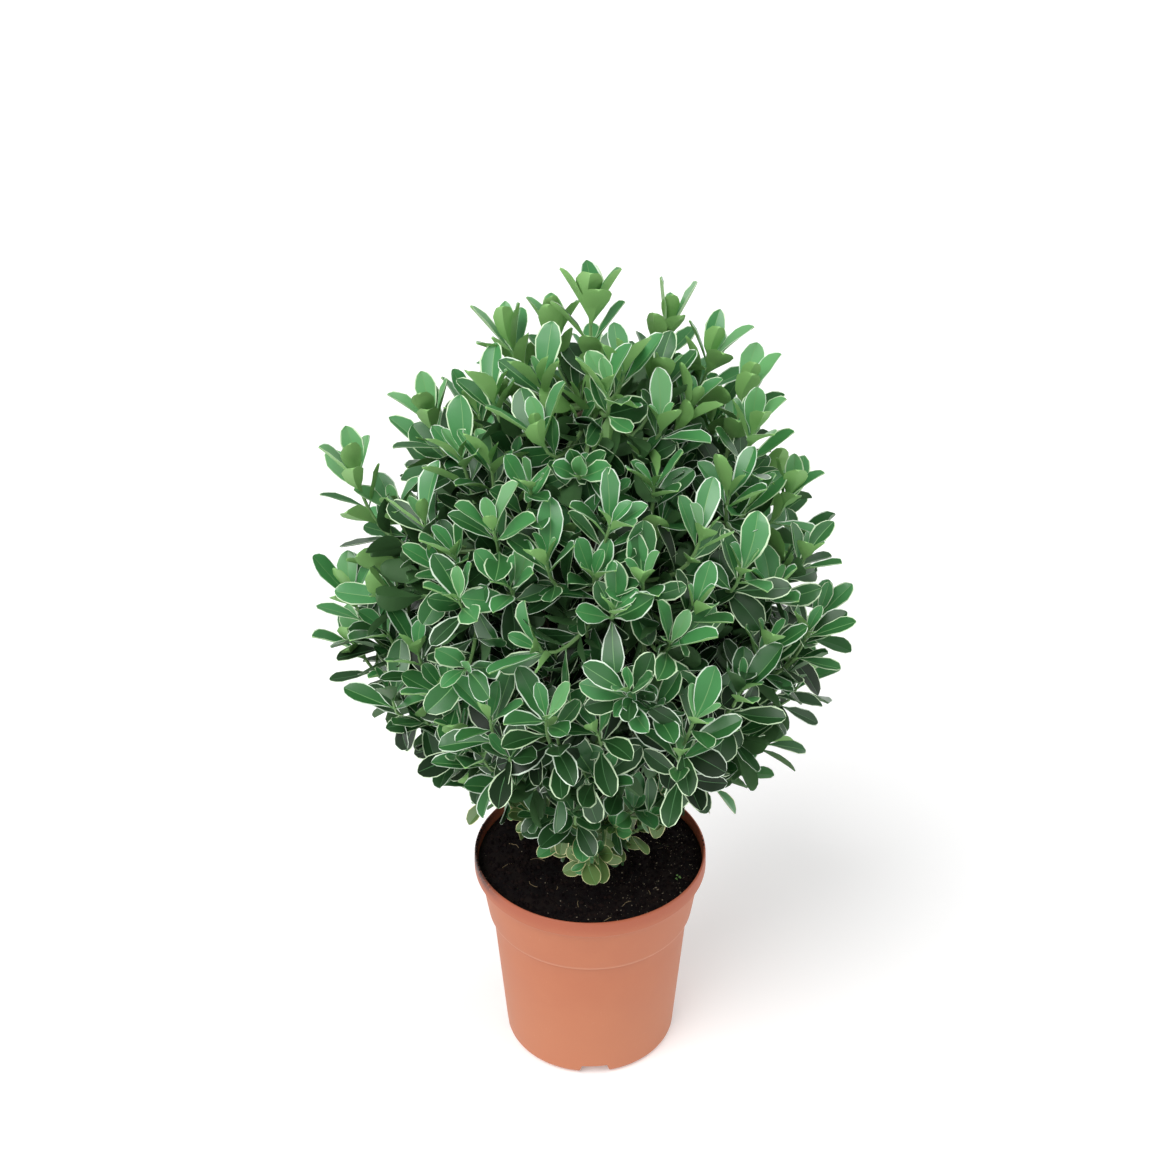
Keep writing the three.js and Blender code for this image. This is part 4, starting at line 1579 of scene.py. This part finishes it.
    def leaf_heaps(self, patterns: list[LeafPattern], shoots: dict[str, list[Shoot]]) -> dict[str, Heap]:
        """Deals leaves out to all the shoots, first the pairs at their ends, then pair by pair down them.

        Args:
            patterns: the leaf patterns, the young ones first and then as many old ones.
            shoots: the shoots of each mass. How far each is bare is noted in it.

        Returns:
            The leaves of each mass.
        """
        masses = {mass.name: mass for mass in self.growth.masses}
        heaps = {name: Heap() for name in masses}
        rows = [
            (level, place, name, shoot)
            for name, own in shoots.items()
            for shoot in own
            for level, place in enumerate(self.places(shoot))
        ]
        rows.sort(key=lambda row: row[0])
        count = 0
        for level, place, name, shoot in rows:
            for opposite in (0.0, math.pi):
                leaf = self.leaf(level, place, shoot, opposite, masses[name])
                if leaf is None:
                    continue
                root, axes, length = leaf
                height = root[2] - self.growth.sizes.soil
                old = level > self.old_level + self.old_play * self.random.random()
                old = old or height < self.low_height * self.random.random()
                pattern = patterns[self.random.integers(self.patterns) + self.patterns * old]
                looks = self.looks(level, height, shoot.tip.strength)
                slots = np.array([LEAF_LOOKS.index(look) for look in looks])[pattern.zones]
                shoot.bare = min(shoot.bare, place)
                points = root + length * (pattern.points @ axes)
                heaps[name].add(points, pattern.corners, pattern.sizes, slots)
                count += 1
        LOG.info("%d leaves on %d shoots", count, sum(len(own) for own in shoots.values()))
        return heaps

    def leaf(
        self, level: int, place: float, shoot: Shoot, opposite: float, mass: Mass
    ) -> tuple[np.ndarray, np.ndarray, float] | None:
        """One leaf of a pair, at the first of a few tries that has room.

        Args:
            level: how many pairs down its shoot it grows.
            place: how far back from the shoot's end.
            shoot: its shoot.
            opposite: the turn that tells the two leaves of a pair apart.
            mass: its mass.

        Returns:
            Its root, its axes and its length, or None where it finds no room.
        """
        share = 1 - place / shoot.curve.length
        root = shoot.curve.at(share)
        along = shoot.curve.along(share)
        height = root[2] - self.growth.sizes.soil
        inner = level < len(self.rosette)
        leads = shoot.tip.strength > 1
        spread = self.rosette_spreads[level] if inner else self.pair_spread + self.pair_widening * level
        spread *= np.interp(height, self.light_heights, self.spreads)
        spread *= self.leader_spread if leads else 1
        spread = math.radians(spread + self.random.uniform(-0.5, 0.5) * self.spread_play)
        tilt = self.light_tilt * np.interp(height, self.light_heights, self.tilts)
        tilt *= self.rosette_tilt if inner else 1
        scales = self.leader_scales if leads else self.rosette_scales
        own = scales[level] if inner else 1.0
        play = self.random.uniform(*self.size_play) * (self.fine_size if shoot.tip.strength < 1 else 1.0)
        own *= play * (1 - self.pair_shrink * level)
        low_heights = [part * self.low_height for part in self.low_parts]
        own *= np.interp(height, low_heights, self.low_scales)
        turn = shoot.tip.turn + level * math.pi / 2 + opposite
        turn += self.random.uniform(-self.turn_play, self.turn_play)
        for twist, scale in self.tries:
            axes = self.leaf_axes(along, turn + twist, spread, tilt)
            length = self.length * own * scale
            line = root + length * LEAF_LINE @ axes
            reach = root + length * LEAF_REACH @ axes
            if not (self.growth.room(reach, mass) > -self.overlap).all():
                continue
            if self.growth.clear(reach, self.limb_clearance) and self.thicket.takes(line):
                self.thicket.add(line)
                return root, axes, length
        return None

    def twigs(self, mass: Mass, shoots: list[Shoot], finishes: list[Material]) -> Piece:
        """A mass's stem and twigs, green towards the tips, each ending in a bud.

        Args:
            mass: the mass.
            shoots: its shoots.
            finishes: the green and the brown finish.

        Returns:
            The piece.
        """
        heap = Heap()
        s = self.growth.sizes
        shares = np.linspace(mass.bough_end + s.fit_gap / mass.bough.length, 1, self.stem_rings)
        radii = np.linspace(s.bough_tip, self.growth.shoot_foot, self.stem_rings)
        points, corners, sizes = tube(mass.bough, shares, radii, self.stem_sides)
        heap.add(points, corners, sizes, np.full(len(sizes), STEM_LOOKS.index(Stem.BROWN)))
        for shoot in shoots:
            if shoot.leafy and shoot.parent:
                shoot.parent.bears = self.growth.branching
        for shoot in shoots:
            if shoot.leafy or shoot.bears:
                heap.add(*self.twig(shoot))
        return heap.piece(f"twigs_{mass.name}", finishes, self.smooth_angle)

    def twig(self, shoot: Shoot) -> Arrays:
        """One twig, as far as it bears leaves or other twigs.

        Args:
            shoot: its shoot.

        Returns:
            Its points, corners, face sizes and slots.
        """
        length = shoot.curve.length
        end = 1 - max(0.0, shoot.bare - self.rosette[0]) / length if shoot.leafy else 0.0
        end = min(1.0, max(end, shoot.bears, self.stub / length))
        rings = max(self.twig_rings, int(length * end / self.twig_step))
        wood = np.linspace(0, end - self.bud_length / length, rings)
        shares = np.concatenate((wood, end + BUD_PLACES / length))
        radii = np.concatenate((np.linspace(shoot.foot_radius, shoot.tip_radius, rings), BUD_RADII))
        points, corners, sizes = tube(shoot.curve, shares, radii, self.twig_sides)
        middles = np.repeat((shares[:-1] + shares[1:]) / 2, self.twig_sides)
        slots = (length * (1 - middles) > self.green_length).astype(int)
        return points, corners, sizes, np.concatenate((slots, [slots[0], STEM_LOOKS.index(Stem.GREEN)]))


# Trunk and boughs

@dataclass
class Limbs:
    """The trunk and boughs, with the relief of their bark.

    At the plain angle the lobes of the trunk's flare neither rise nor fall.
    """

    growth: Growth
    noises: NodeTree
    plain_angle: float = math.pi / 2
    sides: int = 28
    ring_step: float = 1.6 * MM
    least_rings: int = 6
    line_points: int = 200
    furrow: float = 0.55 * MM
    furrow_scales: Pair = (700, 90)
    furrow_depth: float = 0.4
    knot: float = 0.8 * MM
    knot_scale: float = 55
    full_relief: float = 6 * MM
    cap_share: float = 0.6
    foot_band: float = 1.5 * MM
    smooth_angle: float = 60

    def limb(
        self, name: str, curve: ArcCurve, end: float, radius_at: RadiusAt, bark: Material
    ) -> Piece:
        """One limb, drawn as a bevelled curve, made a mesh and carved with bark.

        Args:
            name: the piece's name.
            curve: its middle line.
            end: the share of the line where it ends.
            radius_at: its radius at a share of the limb and an angle round it.
            bark: its finish.

        Returns:
            The piece.
        """
        count = max(self.least_rings, int(curve.length * end / self.ring_step))
        line = bpy.data.curves.new(name, "CURVE")
        line.dimensions = "3D"
        line.bevel_depth = 1.0
        line.bevel_resolution = self.sides // 2 - 2
        line.use_fill_caps = True
        line.twist_mode = "MINIMUM"
        spline = line.splines.new("POLY")
        spline.points.add(count - 1)
        for i, share in enumerate(np.linspace(0, end, count)):
            spline.points[i].co = (*curve.at(share), 1)
            spline.points[i].radius = radius_at(share / end, self.plain_angle)
        make_active(linked(name, line))
        bpy.ops.object.convert(target="MESH")
        piece = bpy.context.object
        self.carve(piece, curve, end, radius_at)
        piece.data.materials.append(bark)
        smooth(piece, self.smooth_angle)
        return piece

    def carve(self, piece: Piece, curve: ArcCurve, end: float, radius_at: RadiusAt) -> None:
        """Moves a limb's surface in and out: flare, long furrows and soft knots.

        Args:
            piece: the limb.
            curve: its middle line.
            end: the share of the line where it ends.
            radius_at: its radius at a share of the limb and an angle round it.
        """
        shares = np.linspace(0, end, self.line_points)
        line = np.array([curve.at(share) for share in shares])
        across, up = self.furrow_scales
        for vertex in piece.data.vertices:
            point = np.array(vertex.co)
            nearest = np.linalg.norm(line - point, axis=1).argmin()
            away = point - line[nearest]
            distance = np.linalg.norm(away)
            share = shares[nearest] / end
            straight = radius_at(share, self.plain_angle)
            if distance < self.cap_share * straight:
                continue
            angle = math.atan2(away[1], away[0])
            long_place = Vector((away[0] * across, away[1] * across, point[2] * up))
            furrows = abs(noise.noise(long_place)) * 2 - self.furrow_depth
            knots = noise.noise(Vector(point) * self.knot_scale)
            growth = radius_at(share, angle) - straight
            depth = min(1.0, straight / self.full_relief)
            growth += depth * (self.knot * knots - self.furrow * furrows)
            vertex.co = point + away / distance * growth

    def grow(self) -> list[Piece]:
        """Grows the trunk and every bough.

        Returns:
            The pieces.
        """
        bark = BARK.make(self.noises)
        trunk = self.limb("trunk_bark", self.growth.trunk, 1.0, self.growth.trunk_radius, bark)
        self.level_foot(trunk)
        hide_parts("trunk")
        pieces = [trunk]
        for mass in self.growth.masses:
            name = f"bough_bark_{mass.name}"
            piece = self.limb(name, mass.bough, mass.bough_end, self.growth.bough_radius, bark)
            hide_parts(f"bough_{mass.name}")
            pieces.append(piece)
        return pieces

    def level_foot(self, trunk: Piece) -> None:
        """Cuts the trunk's foot level with the compost.

        Args:
            trunk: the trunk.
        """
        base = self.growth.sizes.soil + self.growth.sizes.fit_gap
        for vertex in trunk.data.vertices:
            if vertex.co.z < base + self.foot_band:
                vertex.co.z = base


# Pot and compost

# Small corners of the pot's profile, in millimetres outwards and upwards from the edge that each belongs to
STEP_CORNERS = ((0.15, 0), (1, 0.9))
COLLAR_CORNERS = ((-0.7, -0.5), (0, 0.6))
LIP_FOOT_CORNERS = ((0.2, -0.3),)
LIP_FACE_CORNERS = ((-0.1, -7),)
MOUTH_CORNERS = ((0, -0.8), (-0.3, -5))
# Its round corners: first and last angle, in degrees, and number of steps
FOOT_ARC = (-90, 0, 8)
LIP_FOOT_ARC = (-70, 0, 4)
LIP_TOP_ARC = (0, 90, 5)


def placed(radius: float, height: float, corners: tuple[Pair, ...]) -> Profile:
    """Points of a profile, at small steps in millimetres from an edge's radius and height."""
    return [(radius + out * MM, height + up * MM) for out, up in corners]


def arc(centre: Pair, radius: float, start: float, end: float, steps: int) -> Profile:
    """Points on a round corner of a profile, from one angle to another, in degrees and equal steps."""
    angles = np.radians(np.linspace(start, end, steps + 1))
    return [(centre[0] + radius * math.cos(a), centre[1] + radius * math.sin(a)) for a in angles]


@dataclass
class Pot:
    """The plastic pot: rolled lip, collar, step, tapering wall, and channels and drains under its foot."""

    noises: NodeTree
    height: float = POT_HEIGHT
    lip_radius: float = 94.4 * MM
    lip_height: float = 14.3 * MM
    lip_rounding: float = 1.6 * MM
    lip_draft: float = 0.3 * MM
    lip_shoulder: float = 1.2 * MM
    mouth_radius: float = MOUTH_RADIUS
    mouth_foot: float = 0.8 * MM
    collar_radius: float = 90.3 * MM
    collar_height: float = 42.5 * MM
    collar_taper: float = 6.5 * MM
    collar_start: float = 3 * MM
    collar_points: int = 6
    step_width: float = 3.5 * MM
    step_height: float = 3 * MM
    foot_radius: float = 70.3 * MM
    foot_rounding: float = 7.2 * MM
    foot_shares: Pair = (0.2, 0.6)
    wall: float = 2 * MM
    wall_start: float = 20 * MM
    wall_end: float = 1 * MM
    wall_points: int = 8
    floor: float = 12 * MM
    floor_corner: float = 2 * MM
    channels: int = 4
    channel_turn: float = 3
    channel_width: float = 27 * MM
    channel_top: float = 21 * MM
    channel_depth: float = 10 * MM
    channel_start: float = 22 * MM
    channel_run: float = 5 * MM
    cut_margin: float = 1 * MM
    drain_radius: float = 4.5 * MM
    drain_place: float = 46 * MM
    drain_floors: float = 3
    drain_sides: int = 32
    steps: int = 144
    smooth_angle: float = 32

    @property
    def lip_foot(self) -> float:
        """The height of the lip's lower edge."""
        return self.height - self.lip_height

    @property
    def collar_foot(self) -> float:
        """The height of the collar's lower edge."""
        return self.lip_foot - self.collar_height

    @property
    def step_foot(self) -> float:
        """The height of the step's lower edge, under the collar."""
        return self.collar_foot - self.step_height

    def wall_radius(self, height: float) -> float:
        """The wall's outer radius, under the step and on the collar.

        Args:
            height: the height.

        Returns:
            The radius.
        """
        collar_low = self.collar_radius - self.collar_taper
        if height >= self.collar_foot:
            return collar_low + self.collar_taper * (height - self.collar_foot) / self.collar_height
        foot = self.foot_rounding
        widening = collar_low - self.step_width - self.foot_radius
        return self.foot_radius + widening * (height - foot) / (self.step_foot - foot)

    def outside(self) -> Profile:
        """The pot's outside.

        Returns:
            Points from the middle of its underside, round its foot and up its wall, to the top of its lip.
        """
        rounding, lip = self.foot_rounding, self.lip_rounding
        points = [(0.0, 0.0)] + [(share * self.foot_radius, 0.0) for share in self.foot_shares]
        points += arc((self.foot_radius - rounding, rounding), rounding, *FOOT_ARC)
        wall = np.linspace(self.wall_start, self.step_foot - self.wall_end, self.wall_points)
        points += [(self.wall_radius(height), height) for height in wall]
        points += placed(self.wall_radius(self.step_foot), self.step_foot, STEP_CORNERS)
        points += placed(self.wall_radius(self.collar_foot), self.collar_foot, COLLAR_CORNERS)
        collar_end = self.lip_foot - self.lip_shoulder
        collar = np.linspace(self.collar_foot + self.collar_start, collar_end, self.collar_points)
        points += [(self.wall_radius(height), height) for height in collar]
        points += placed(self.collar_radius, self.lip_foot, LIP_FOOT_CORNERS)
        points += arc((self.lip_radius - lip, self.lip_foot + lip), lip, *LIP_FOOT_ARC)
        points += placed(self.lip_radius, self.height, LIP_FACE_CORNERS)
        points += arc((self.lip_radius - self.lip_draft - lip, self.height - lip), lip, *LIP_TOP_ARC)
        return points

    def inside(self) -> Profile:
        """The pot's inside.

        Returns:
            Points from the edge of its mouth down its wall to the middle of its floor.
        """
        points = placed(self.mouth_radius, self.height, MOUTH_CORNERS)
        points.append((self.mouth_radius - self.mouth_foot, self.lip_foot + self.lip_shoulder))
        for height in (self.lip_foot - self.lip_shoulder, self.collar_foot, self.step_foot):
            points.append((self.wall_radius(height) - self.wall, height))
        corner = self.floor + self.floor_corner
        points.append((self.wall_radius(corner) - self.wall, corner))
        points.append((self.foot_radius - self.wall - self.floor_corner, self.floor))
        points.append((0.0, self.floor))
        return points

    def cut(self, pot: Piece, cutter: Piece) -> None:
        """Cuts a cutter's shape out of the pot and removes the cutter.

        Args:
            pot: the pot.
            cutter: the cutter.
        """
        modifier = pot.modifiers.new("cut", "BOOLEAN")
        modifier.operation = "DIFFERENCE"
        modifier.solver = "EXACT"
        modifier.object = cutter
        make_active(pot)
        bpy.ops.object.modifier_apply(modifier=modifier.name)
        bpy.data.objects.remove(cutter)

    def channel(self, turn: float) -> Piece:
        """A cutter for one drainage channel: a bar, narrower at its top.

        Args:
            turn: the channel's turn round the axis, in radians.

        Returns:
            The cutter.
        """
        deselect()
        length = self.foot_radius + self.channel_run - self.channel_start
        depth = self.channel_depth + self.cut_margin
        bpy.ops.mesh.primitive_cube_add(size=1)
        bar = bpy.context.object
        slope = (self.channel_width - self.channel_top) / 2 / self.channel_depth
        for vertex in bar.data.vertices:
            top = vertex.co.z > 0
            half = self.channel_top / 2 if top else self.channel_width / 2 + slope * self.cut_margin
            x = math.copysign(half, vertex.co.x)
            y = -self.channel_start - (0.5 - vertex.co.y) * length
            z = self.channel_depth if top else self.channel_depth - depth
            vertex.co = (x * math.cos(turn) - y * math.sin(turn), x * math.sin(turn) + y * math.cos(turn), z)
        return bar

    def drain(self, turn: float) -> Piece:
        """A cutter for one drain.

        Args:
            turn: the drain's turn round the axis, in radians.

        Returns:
            The cutter.
        """
        deselect()
        place = (self.drain_place * math.sin(turn), -self.drain_place * math.cos(turn), self.floor)
        depth = self.drain_floors * self.floor
        bpy.ops.mesh.primitive_cylinder_add(
            vertices=self.drain_sides, radius=self.drain_radius, depth=depth, location=place
        )
        return bpy.context.object

    def build(self) -> Piece:
        """Turns the profile, cuts channels and drains, and finishes the pot.

        Returns:
            The piece.
        """
        pot = turned("pot_shell", self.outside() + self.inside(), self.steps)
        for i in range(self.channels):
            turn = math.radians(self.channel_turn) + 2 * math.pi * i / self.channels
            self.cut(pot, self.channel(turn))
            self.cut(pot, self.drain(turn))
        pot.data.materials.clear()
        pot.data.materials.append(PlasticFinish().make(self))
        smooth(pot, self.smooth_angle)
        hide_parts("pot")
        return pot


# A lump's six points and eight faces
LUMP_POINTS = np.array(((1, 0, 0), (0, 1, 0), (-1, 0, 0), (0, -1, 0), (0, 0, 1), (0, 0, -1)), float)
LUMP_CORNERS = np.array((0, 1, 4, 1, 2, 4, 2, 3, 4, 3, 0, 4, 1, 0, 5, 2, 1, 5, 3, 2, 5, 0, 3, 5))
LUMP_SIZES = np.full(8, 3)


@dataclass
class Compost:
    """The compost: an uneven, crumbly surface with lumps, chips and strands of straw."""

    noises: NodeTree
    pot: Pot
    level: float = SOIL_HEIGHT
    gap: float = 0.4 * MM
    floor_gap: float = 0.3 * MM
    mouth_gap: float = 1.2 * MM
    mouth_rise: float = 1.6 * MM
    edge_drop: float = 2 * MM
    edge_start: float = 60 * MM
    fixed_edge: float = 0.1 * MM
    rise: float = 0.6 * MM
    swells: tuple[Pair, ...] = ((2.8 * MM, 28), (2.2 * MM, 95))
    ripples: tuple[Pair, ...] = ((1.1 * MM, 260), (0.5 * MM, 700))
    calm_radius: float = 12 * MM
    calm_width: float = 14 * MM
    steps: int = 200
    rings: int = 62
    smooth_angle: float = 50
    lumps: int = 3200
    lump_size: Triple = (0.4 * MM, 2.2, 0.42)
    lump_limit: float = 2.6 * MM
    lump_play: Pair = (0.55, 1.25)
    lump_flatness: float = 0.75
    umber_share: float = 0.35
    sunk: float = 0.25
    chips: int = 800
    chip_size: Triple = (0.2 * MM, 1.3, 0.16)
    chip_side: Pair = (-0.2, 1.1)
    edge_margin: float = 2.5 * MM
    spilt: int = 90
    left_share: float = 0.7
    spilt_left: Pair = (math.pi, 0.16)
    spilt_right: Pair = (0.1, 0.08)
    spilt_reach: Pair = (0.3, 1.1)
    spilt_sizes: Pair = (0.3, 0.9)
    spilt_rise: float = 0.15 * MM
    straws: int = 15
    straw_margin: float = 12 * MM
    straw_start: float = 0.08
    straw_lengths: Pair = (4, 13)
    straw_radii: Pair = (0.14, 0.3)
    straw_rise: float = 0.55 * MM
    straw_points: int = 6
    straw_sides: int = 4
    sprout: Pair = (71 * MM, -30 * MM)
    sprout_lumps: int = 6
    sprout_spread: float = 1.6 * MM
    sprout_rises: Pair = (0.4, 2.2)
    sprout_sizes: Pair = (0.8, 1.5)
    crumb_angle: float = 30

    def __post_init__(self) -> None:
        """Starts the random numbers."""
        self.random = np.random.default_rng(CRUMB_SEED)

    @property
    def radius(self) -> float:
        """The compost's radius at its edge."""
        return self.pot.mouth_radius - self.mouth_gap

    def height(self, x: float, y: float) -> float:
        """The height of the surface, calm round the trunk and lower at the edge.

        Args:
            x: the place to the right of the axis.
            y: the place behind it.

        Returns:
            The height there.
        """
        radius = math.hypot(x, y)
        place = Vector((x, y, 0))
        swell = sum(size * noise.noise(place * scale) for size, scale in self.swells)
        ripple = sum(size * noise.noise(place * scale) for size, scale in self.ripples)
        edge = max(0.0, (radius - self.edge_start) / (self.radius - self.edge_start))
        calm = min(1.0, max(0.0, (radius - self.calm_radius) / self.calm_width))
        return self.level + self.rise + calm * swell + ripple - self.edge_drop * edge * edge

    def profile(self) -> Profile:
        """The compost's cut face.

        Returns:
            Points from the middle of its underside up its side, and by many rings to the middle of its top.
        """
        pot = self.pot
        bottom = pot.floor + self.floor_gap
        points = [(0.0, bottom), (pot.foot_radius - pot.wall - pot.floor_corner - self.gap, bottom)]
        corner = pot.floor + pot.floor_corner
        for height in (corner, pot.step_foot, pot.collar_foot, pot.lip_foot - pot.lip_shoulder):
            points.append((pot.wall_radius(height) - pot.wall - self.gap, height))
        points.append((self.radius, pot.lip_foot + self.mouth_rise))
        for radius in np.linspace(self.radius, 0, self.rings):
            points.append((radius, self.level - self.edge_drop))
        return points

    def build(self) -> list[Piece]:
        """Makes the compost's body and what lies on it.

        Returns:
            The pieces.
        """
        body = turned("compost_peat", self.profile(), self.steps)
        for vertex in body.data.vertices:
            if vertex.co.z > self.level - self.edge_drop - TOUCH:
                if math.hypot(vertex.co.x, vertex.co.y) < self.radius - self.fixed_edge:
                    vertex.co.z = self.height(vertex.co.x, vertex.co.y)
        body.data.materials.clear()
        body.data.materials.append(PEAT.make(self.noises))
        smooth(body, self.smooth_angle)
        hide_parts("compost")
        crumbs = self.crumbs()
        return [body, crumbs]

    def crumbs(self) -> Piece:
        """Lumps, chips, spilt crumbs, strands of straw and a sprout, as one piece.

        Returns:
            The piece.
        """
        random = self.random
        heap = Heap()
        for i in range(self.lumps + self.chips):
            heap.add(*self.strewn(i >= self.lumps))
        for _ in range(self.spilt):
            side, play = self.spilt_left if random.random() < self.left_share else self.spilt_right
            azimuth = side + random.normal(0, play)
            radius = self.pot.mouth_radius + random.uniform(*self.spilt_reach) * MM
            x, y = radius * math.cos(azimuth), radius * math.sin(azimuth)
            place = np.array((x, y, self.pot.height + self.spilt_rise))
            heap.add(*self.lump(place, random.uniform(*self.spilt_sizes) * MM, Crumb.PEAT))
        for _ in range(self.straws):
            heap.add(*self.straw())
        for _ in range(self.sprout_lumps):
            x, y = np.array(self.sprout) + random.normal(0, self.sprout_spread, 2)
            place = np.array((x, y, self.height(x, y) + random.uniform(*self.sprout_rises) * MM))
            heap.add(*self.lump(place, random.uniform(*self.sprout_sizes) * MM, Crumb.SPROUT))
        finishes = [look.value.make() for look in CRUMB_LOOKS]
        return heap.piece("compost_crumbs", finishes, self.crumb_angle)

    def strewn(self, chip: bool) -> Arrays:
        """A lump or chip somewhere on the surface, the chips mostly to the right.

        Args:
            chip: whether it is a chip.

        Returns:
            Its points, corners, face sizes and slots.
        """
        random = self.random
        radius = (self.radius - self.edge_margin) * math.sqrt(random.random())
        azimuth = random.normal(*self.chip_side) if chip else random.uniform(0, 2 * math.pi)
        x, y = radius * math.cos(azimuth), radius * math.sin(azimuth)
        least, shape, scale = self.chip_size if chip else self.lump_size
        size = random.gamma(shape, scale) * MM + least
        place = np.array((x, y, self.height(x, y) + self.sunk * size))
        look = Crumb.CHIP
        if not chip:
            look = Crumb.UMBER if random.random() < self.umber_share else Crumb.PEAT
        return self.lump(place, min(size, self.lump_limit), look)

    def lump(self, place: np.ndarray, size: float, look: Crumb) -> Arrays:
        """An eight-sided lump of irregular shape.

        Args:
            place: its middle.
            size: its rough radius.
            look: its colour.

        Returns:
            Its points, corners, face sizes and slots.
        """
        play = self.random.uniform(*self.lump_play, (len(LUMP_POINTS), 1))
        points = LUMP_POINTS * (play * np.array((1, 1, self.lump_flatness)))
        turn = self.random.uniform(0, math.pi)
        cosine, sine = math.cos(turn), math.sin(turn)
        spin = np.array(((cosine, sine, 0), (-sine, cosine, 0), (0, 0, 1)))
        slots = np.full(len(LUMP_SIZES), CRUMB_LOOKS.index(look))
        return place + size * points @ spin, LUMP_CORNERS, LUMP_SIZES, slots

    def straw(self) -> Arrays:
        """A thin bent strand that lies on the surface.

        Returns:
            Its points, corners, face sizes and slots.
        """
        random = self.random
        radius = (self.radius - self.straw_margin) * math.sqrt(random.uniform(self.straw_start, 1))
        azimuth, heading = random.uniform(0, 2 * math.pi, 2)
        length = random.uniform(*self.straw_lengths) * MM
        bend = random.uniform(-1, 1)
        points = []
        for t in np.linspace(-0.5, 0.5, self.straw_points):
            x = radius * math.cos(azimuth) + length * t * math.cos(heading + bend * t)
            y = radius * math.sin(azimuth) + length * t * math.sin(heading + bend * t)
            points.append((x, y, self.height(x, y) + self.straw_rise))
        radii = np.full(self.straw_points, random.uniform(*self.straw_radii)) * MM
        shares = np.linspace(0, 1, self.straw_points)
        shape = tube(ArcCurve(np.array(points)), shares, radii, self.straw_sides)
        return (*shape, np.full(len(shape[2]), CRUMB_LOOKS.index(Crumb.STRAW)))


# Studio

@dataclass(frozen=True)
class Lamp:
    """A large, soft, distant light: where it shines from, the angle that it fills and its strength."""

    name: str
    place: Triple
    width: float
    strength: float

    def hang(self, aim: Vector) -> None:
        """Adds the light to the scene.

        Args:
            aim: the point that it shines at.
        """
        light = bpy.data.lights.new(self.name, "SUN")
        light.angle = math.radians(self.width)
        light.energy = self.strength
        lamp = linked(self.name, light)
        lamp.location = self.place
        lamp.rotation_euler = (aim - Vector(self.place)).to_track_quat("-Z", "Y").to_euler()


@dataclass
class Studio:
    """A pale floor, soft light and the camera at the photograph's angle."""

    focal_pixels: float = 2440.37
    image_size: float = 1161
    axis_pixel: float = 590.13
    pitch: float = 33.145
    distance: float = 1545.74 * MM
    height: float = 1454.89 * MM
    sensor: float = 36.0
    floor_size: float = 120
    floor_white: Colour = (0.86, 0.86, 0.86)
    floor_roughness: float = 0.85
    floor_specular: float = 0.1
    floor_glow: float = 0.22
    air: float = 0.36
    aim_height: float = 0.35
    lamps: tuple[Lamp, ...] = (
        Lamp("key_light", (-1.2, -1.3, 2.6), 48, 2.5),
        Lamp("fill_light", (1.7, -0.2, 2.2), 60, 1.0),
    )

    def floor(self) -> None:
        """Lays a pale floor, wide enough to fill the picture from any side."""
        deselect()
        bpy.ops.mesh.primitive_plane_add(size=self.floor_size, location=(0, 0, 0))
        floor = bpy.context.object
        floor.name = "studio_floor"
        floor.data.materials.append(self.white())

    def white(self) -> Material:
        """The floor's white, faintly lit from beneath like a light table.

        Returns:
            The material.
        """
        material, _, shader = principled("studio_white")
        shader.inputs["Base Color"].default_value = (*self.floor_white, 1)
        shader.inputs["Roughness"].default_value = self.floor_roughness
        shader.inputs["Specular IOR Level"].default_value = self.floor_specular
        shader.inputs["Emission Color"].default_value = (1, 1, 1, 1)
        shader.inputs["Emission Strength"].default_value = self.floor_glow
        return material

    def camera(self) -> None:
        """Sets up the camera, at the photograph's place, pitch and focal length."""
        data = bpy.data.cameras.new("camera")
        data.sensor_width = self.sensor
        data.lens = self.focal_pixels / self.image_size * self.sensor
        data.shift_x = (self.image_size / 2 - self.axis_pixel) / self.image_size
        camera = linked("camera", data)
        camera.location = (0, -self.distance, self.height)
        camera.rotation_euler = (math.radians(90 - self.pitch), 0, 0)
        bpy.context.scene.camera = camera

    def build(self) -> None:
        """Sets up floor, lamps, the soft surrounding light and the camera."""
        self.camera()
        self.floor()
        for lamp in self.lamps:
            lamp.hang(Vector((0, 0, self.aim_height)))
        world = bpy.data.worlds.new("studio_air")
        world.use_nodes = True
        background = world.node_tree.nodes["Background"]
        background.inputs["Color"].default_value = (1, 1, 1, 1)
        background.inputs["Strength"].default_value = self.air
        bpy.context.scene.world = world
        bpy.context.scene.view_settings.view_transform = "Standard"


def corners(box: tuple[Vector, Vector]) -> list[list[float]]:
    """A box's two corners as plain lists."""
    return [list(box[0]), list(box[1])]


def main() -> None:
    """Builds the studio, the pot, the compost, the limbs and the leaves, and reports each piece."""
    logging.basicConfig(level=logging.INFO, format="%(name)s: %(message)s")
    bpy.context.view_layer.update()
    Studio().build()
    noises = noise_group("soft_and_fine_noise")
    pot = Pot(noises)
    growth = Growth()
    pieces = [pot.build(), *Compost(noises, pot).build()]
    pieces += Limbs(growth, noises).grow()
    pieces += Greenery(growth).grow()
    for piece in pieces:
        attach(piece, BODY)
        LOG.info("%s: %d faces", piece.name, len(piece.data.polygons))


if __name__ == "__main__":
    main()
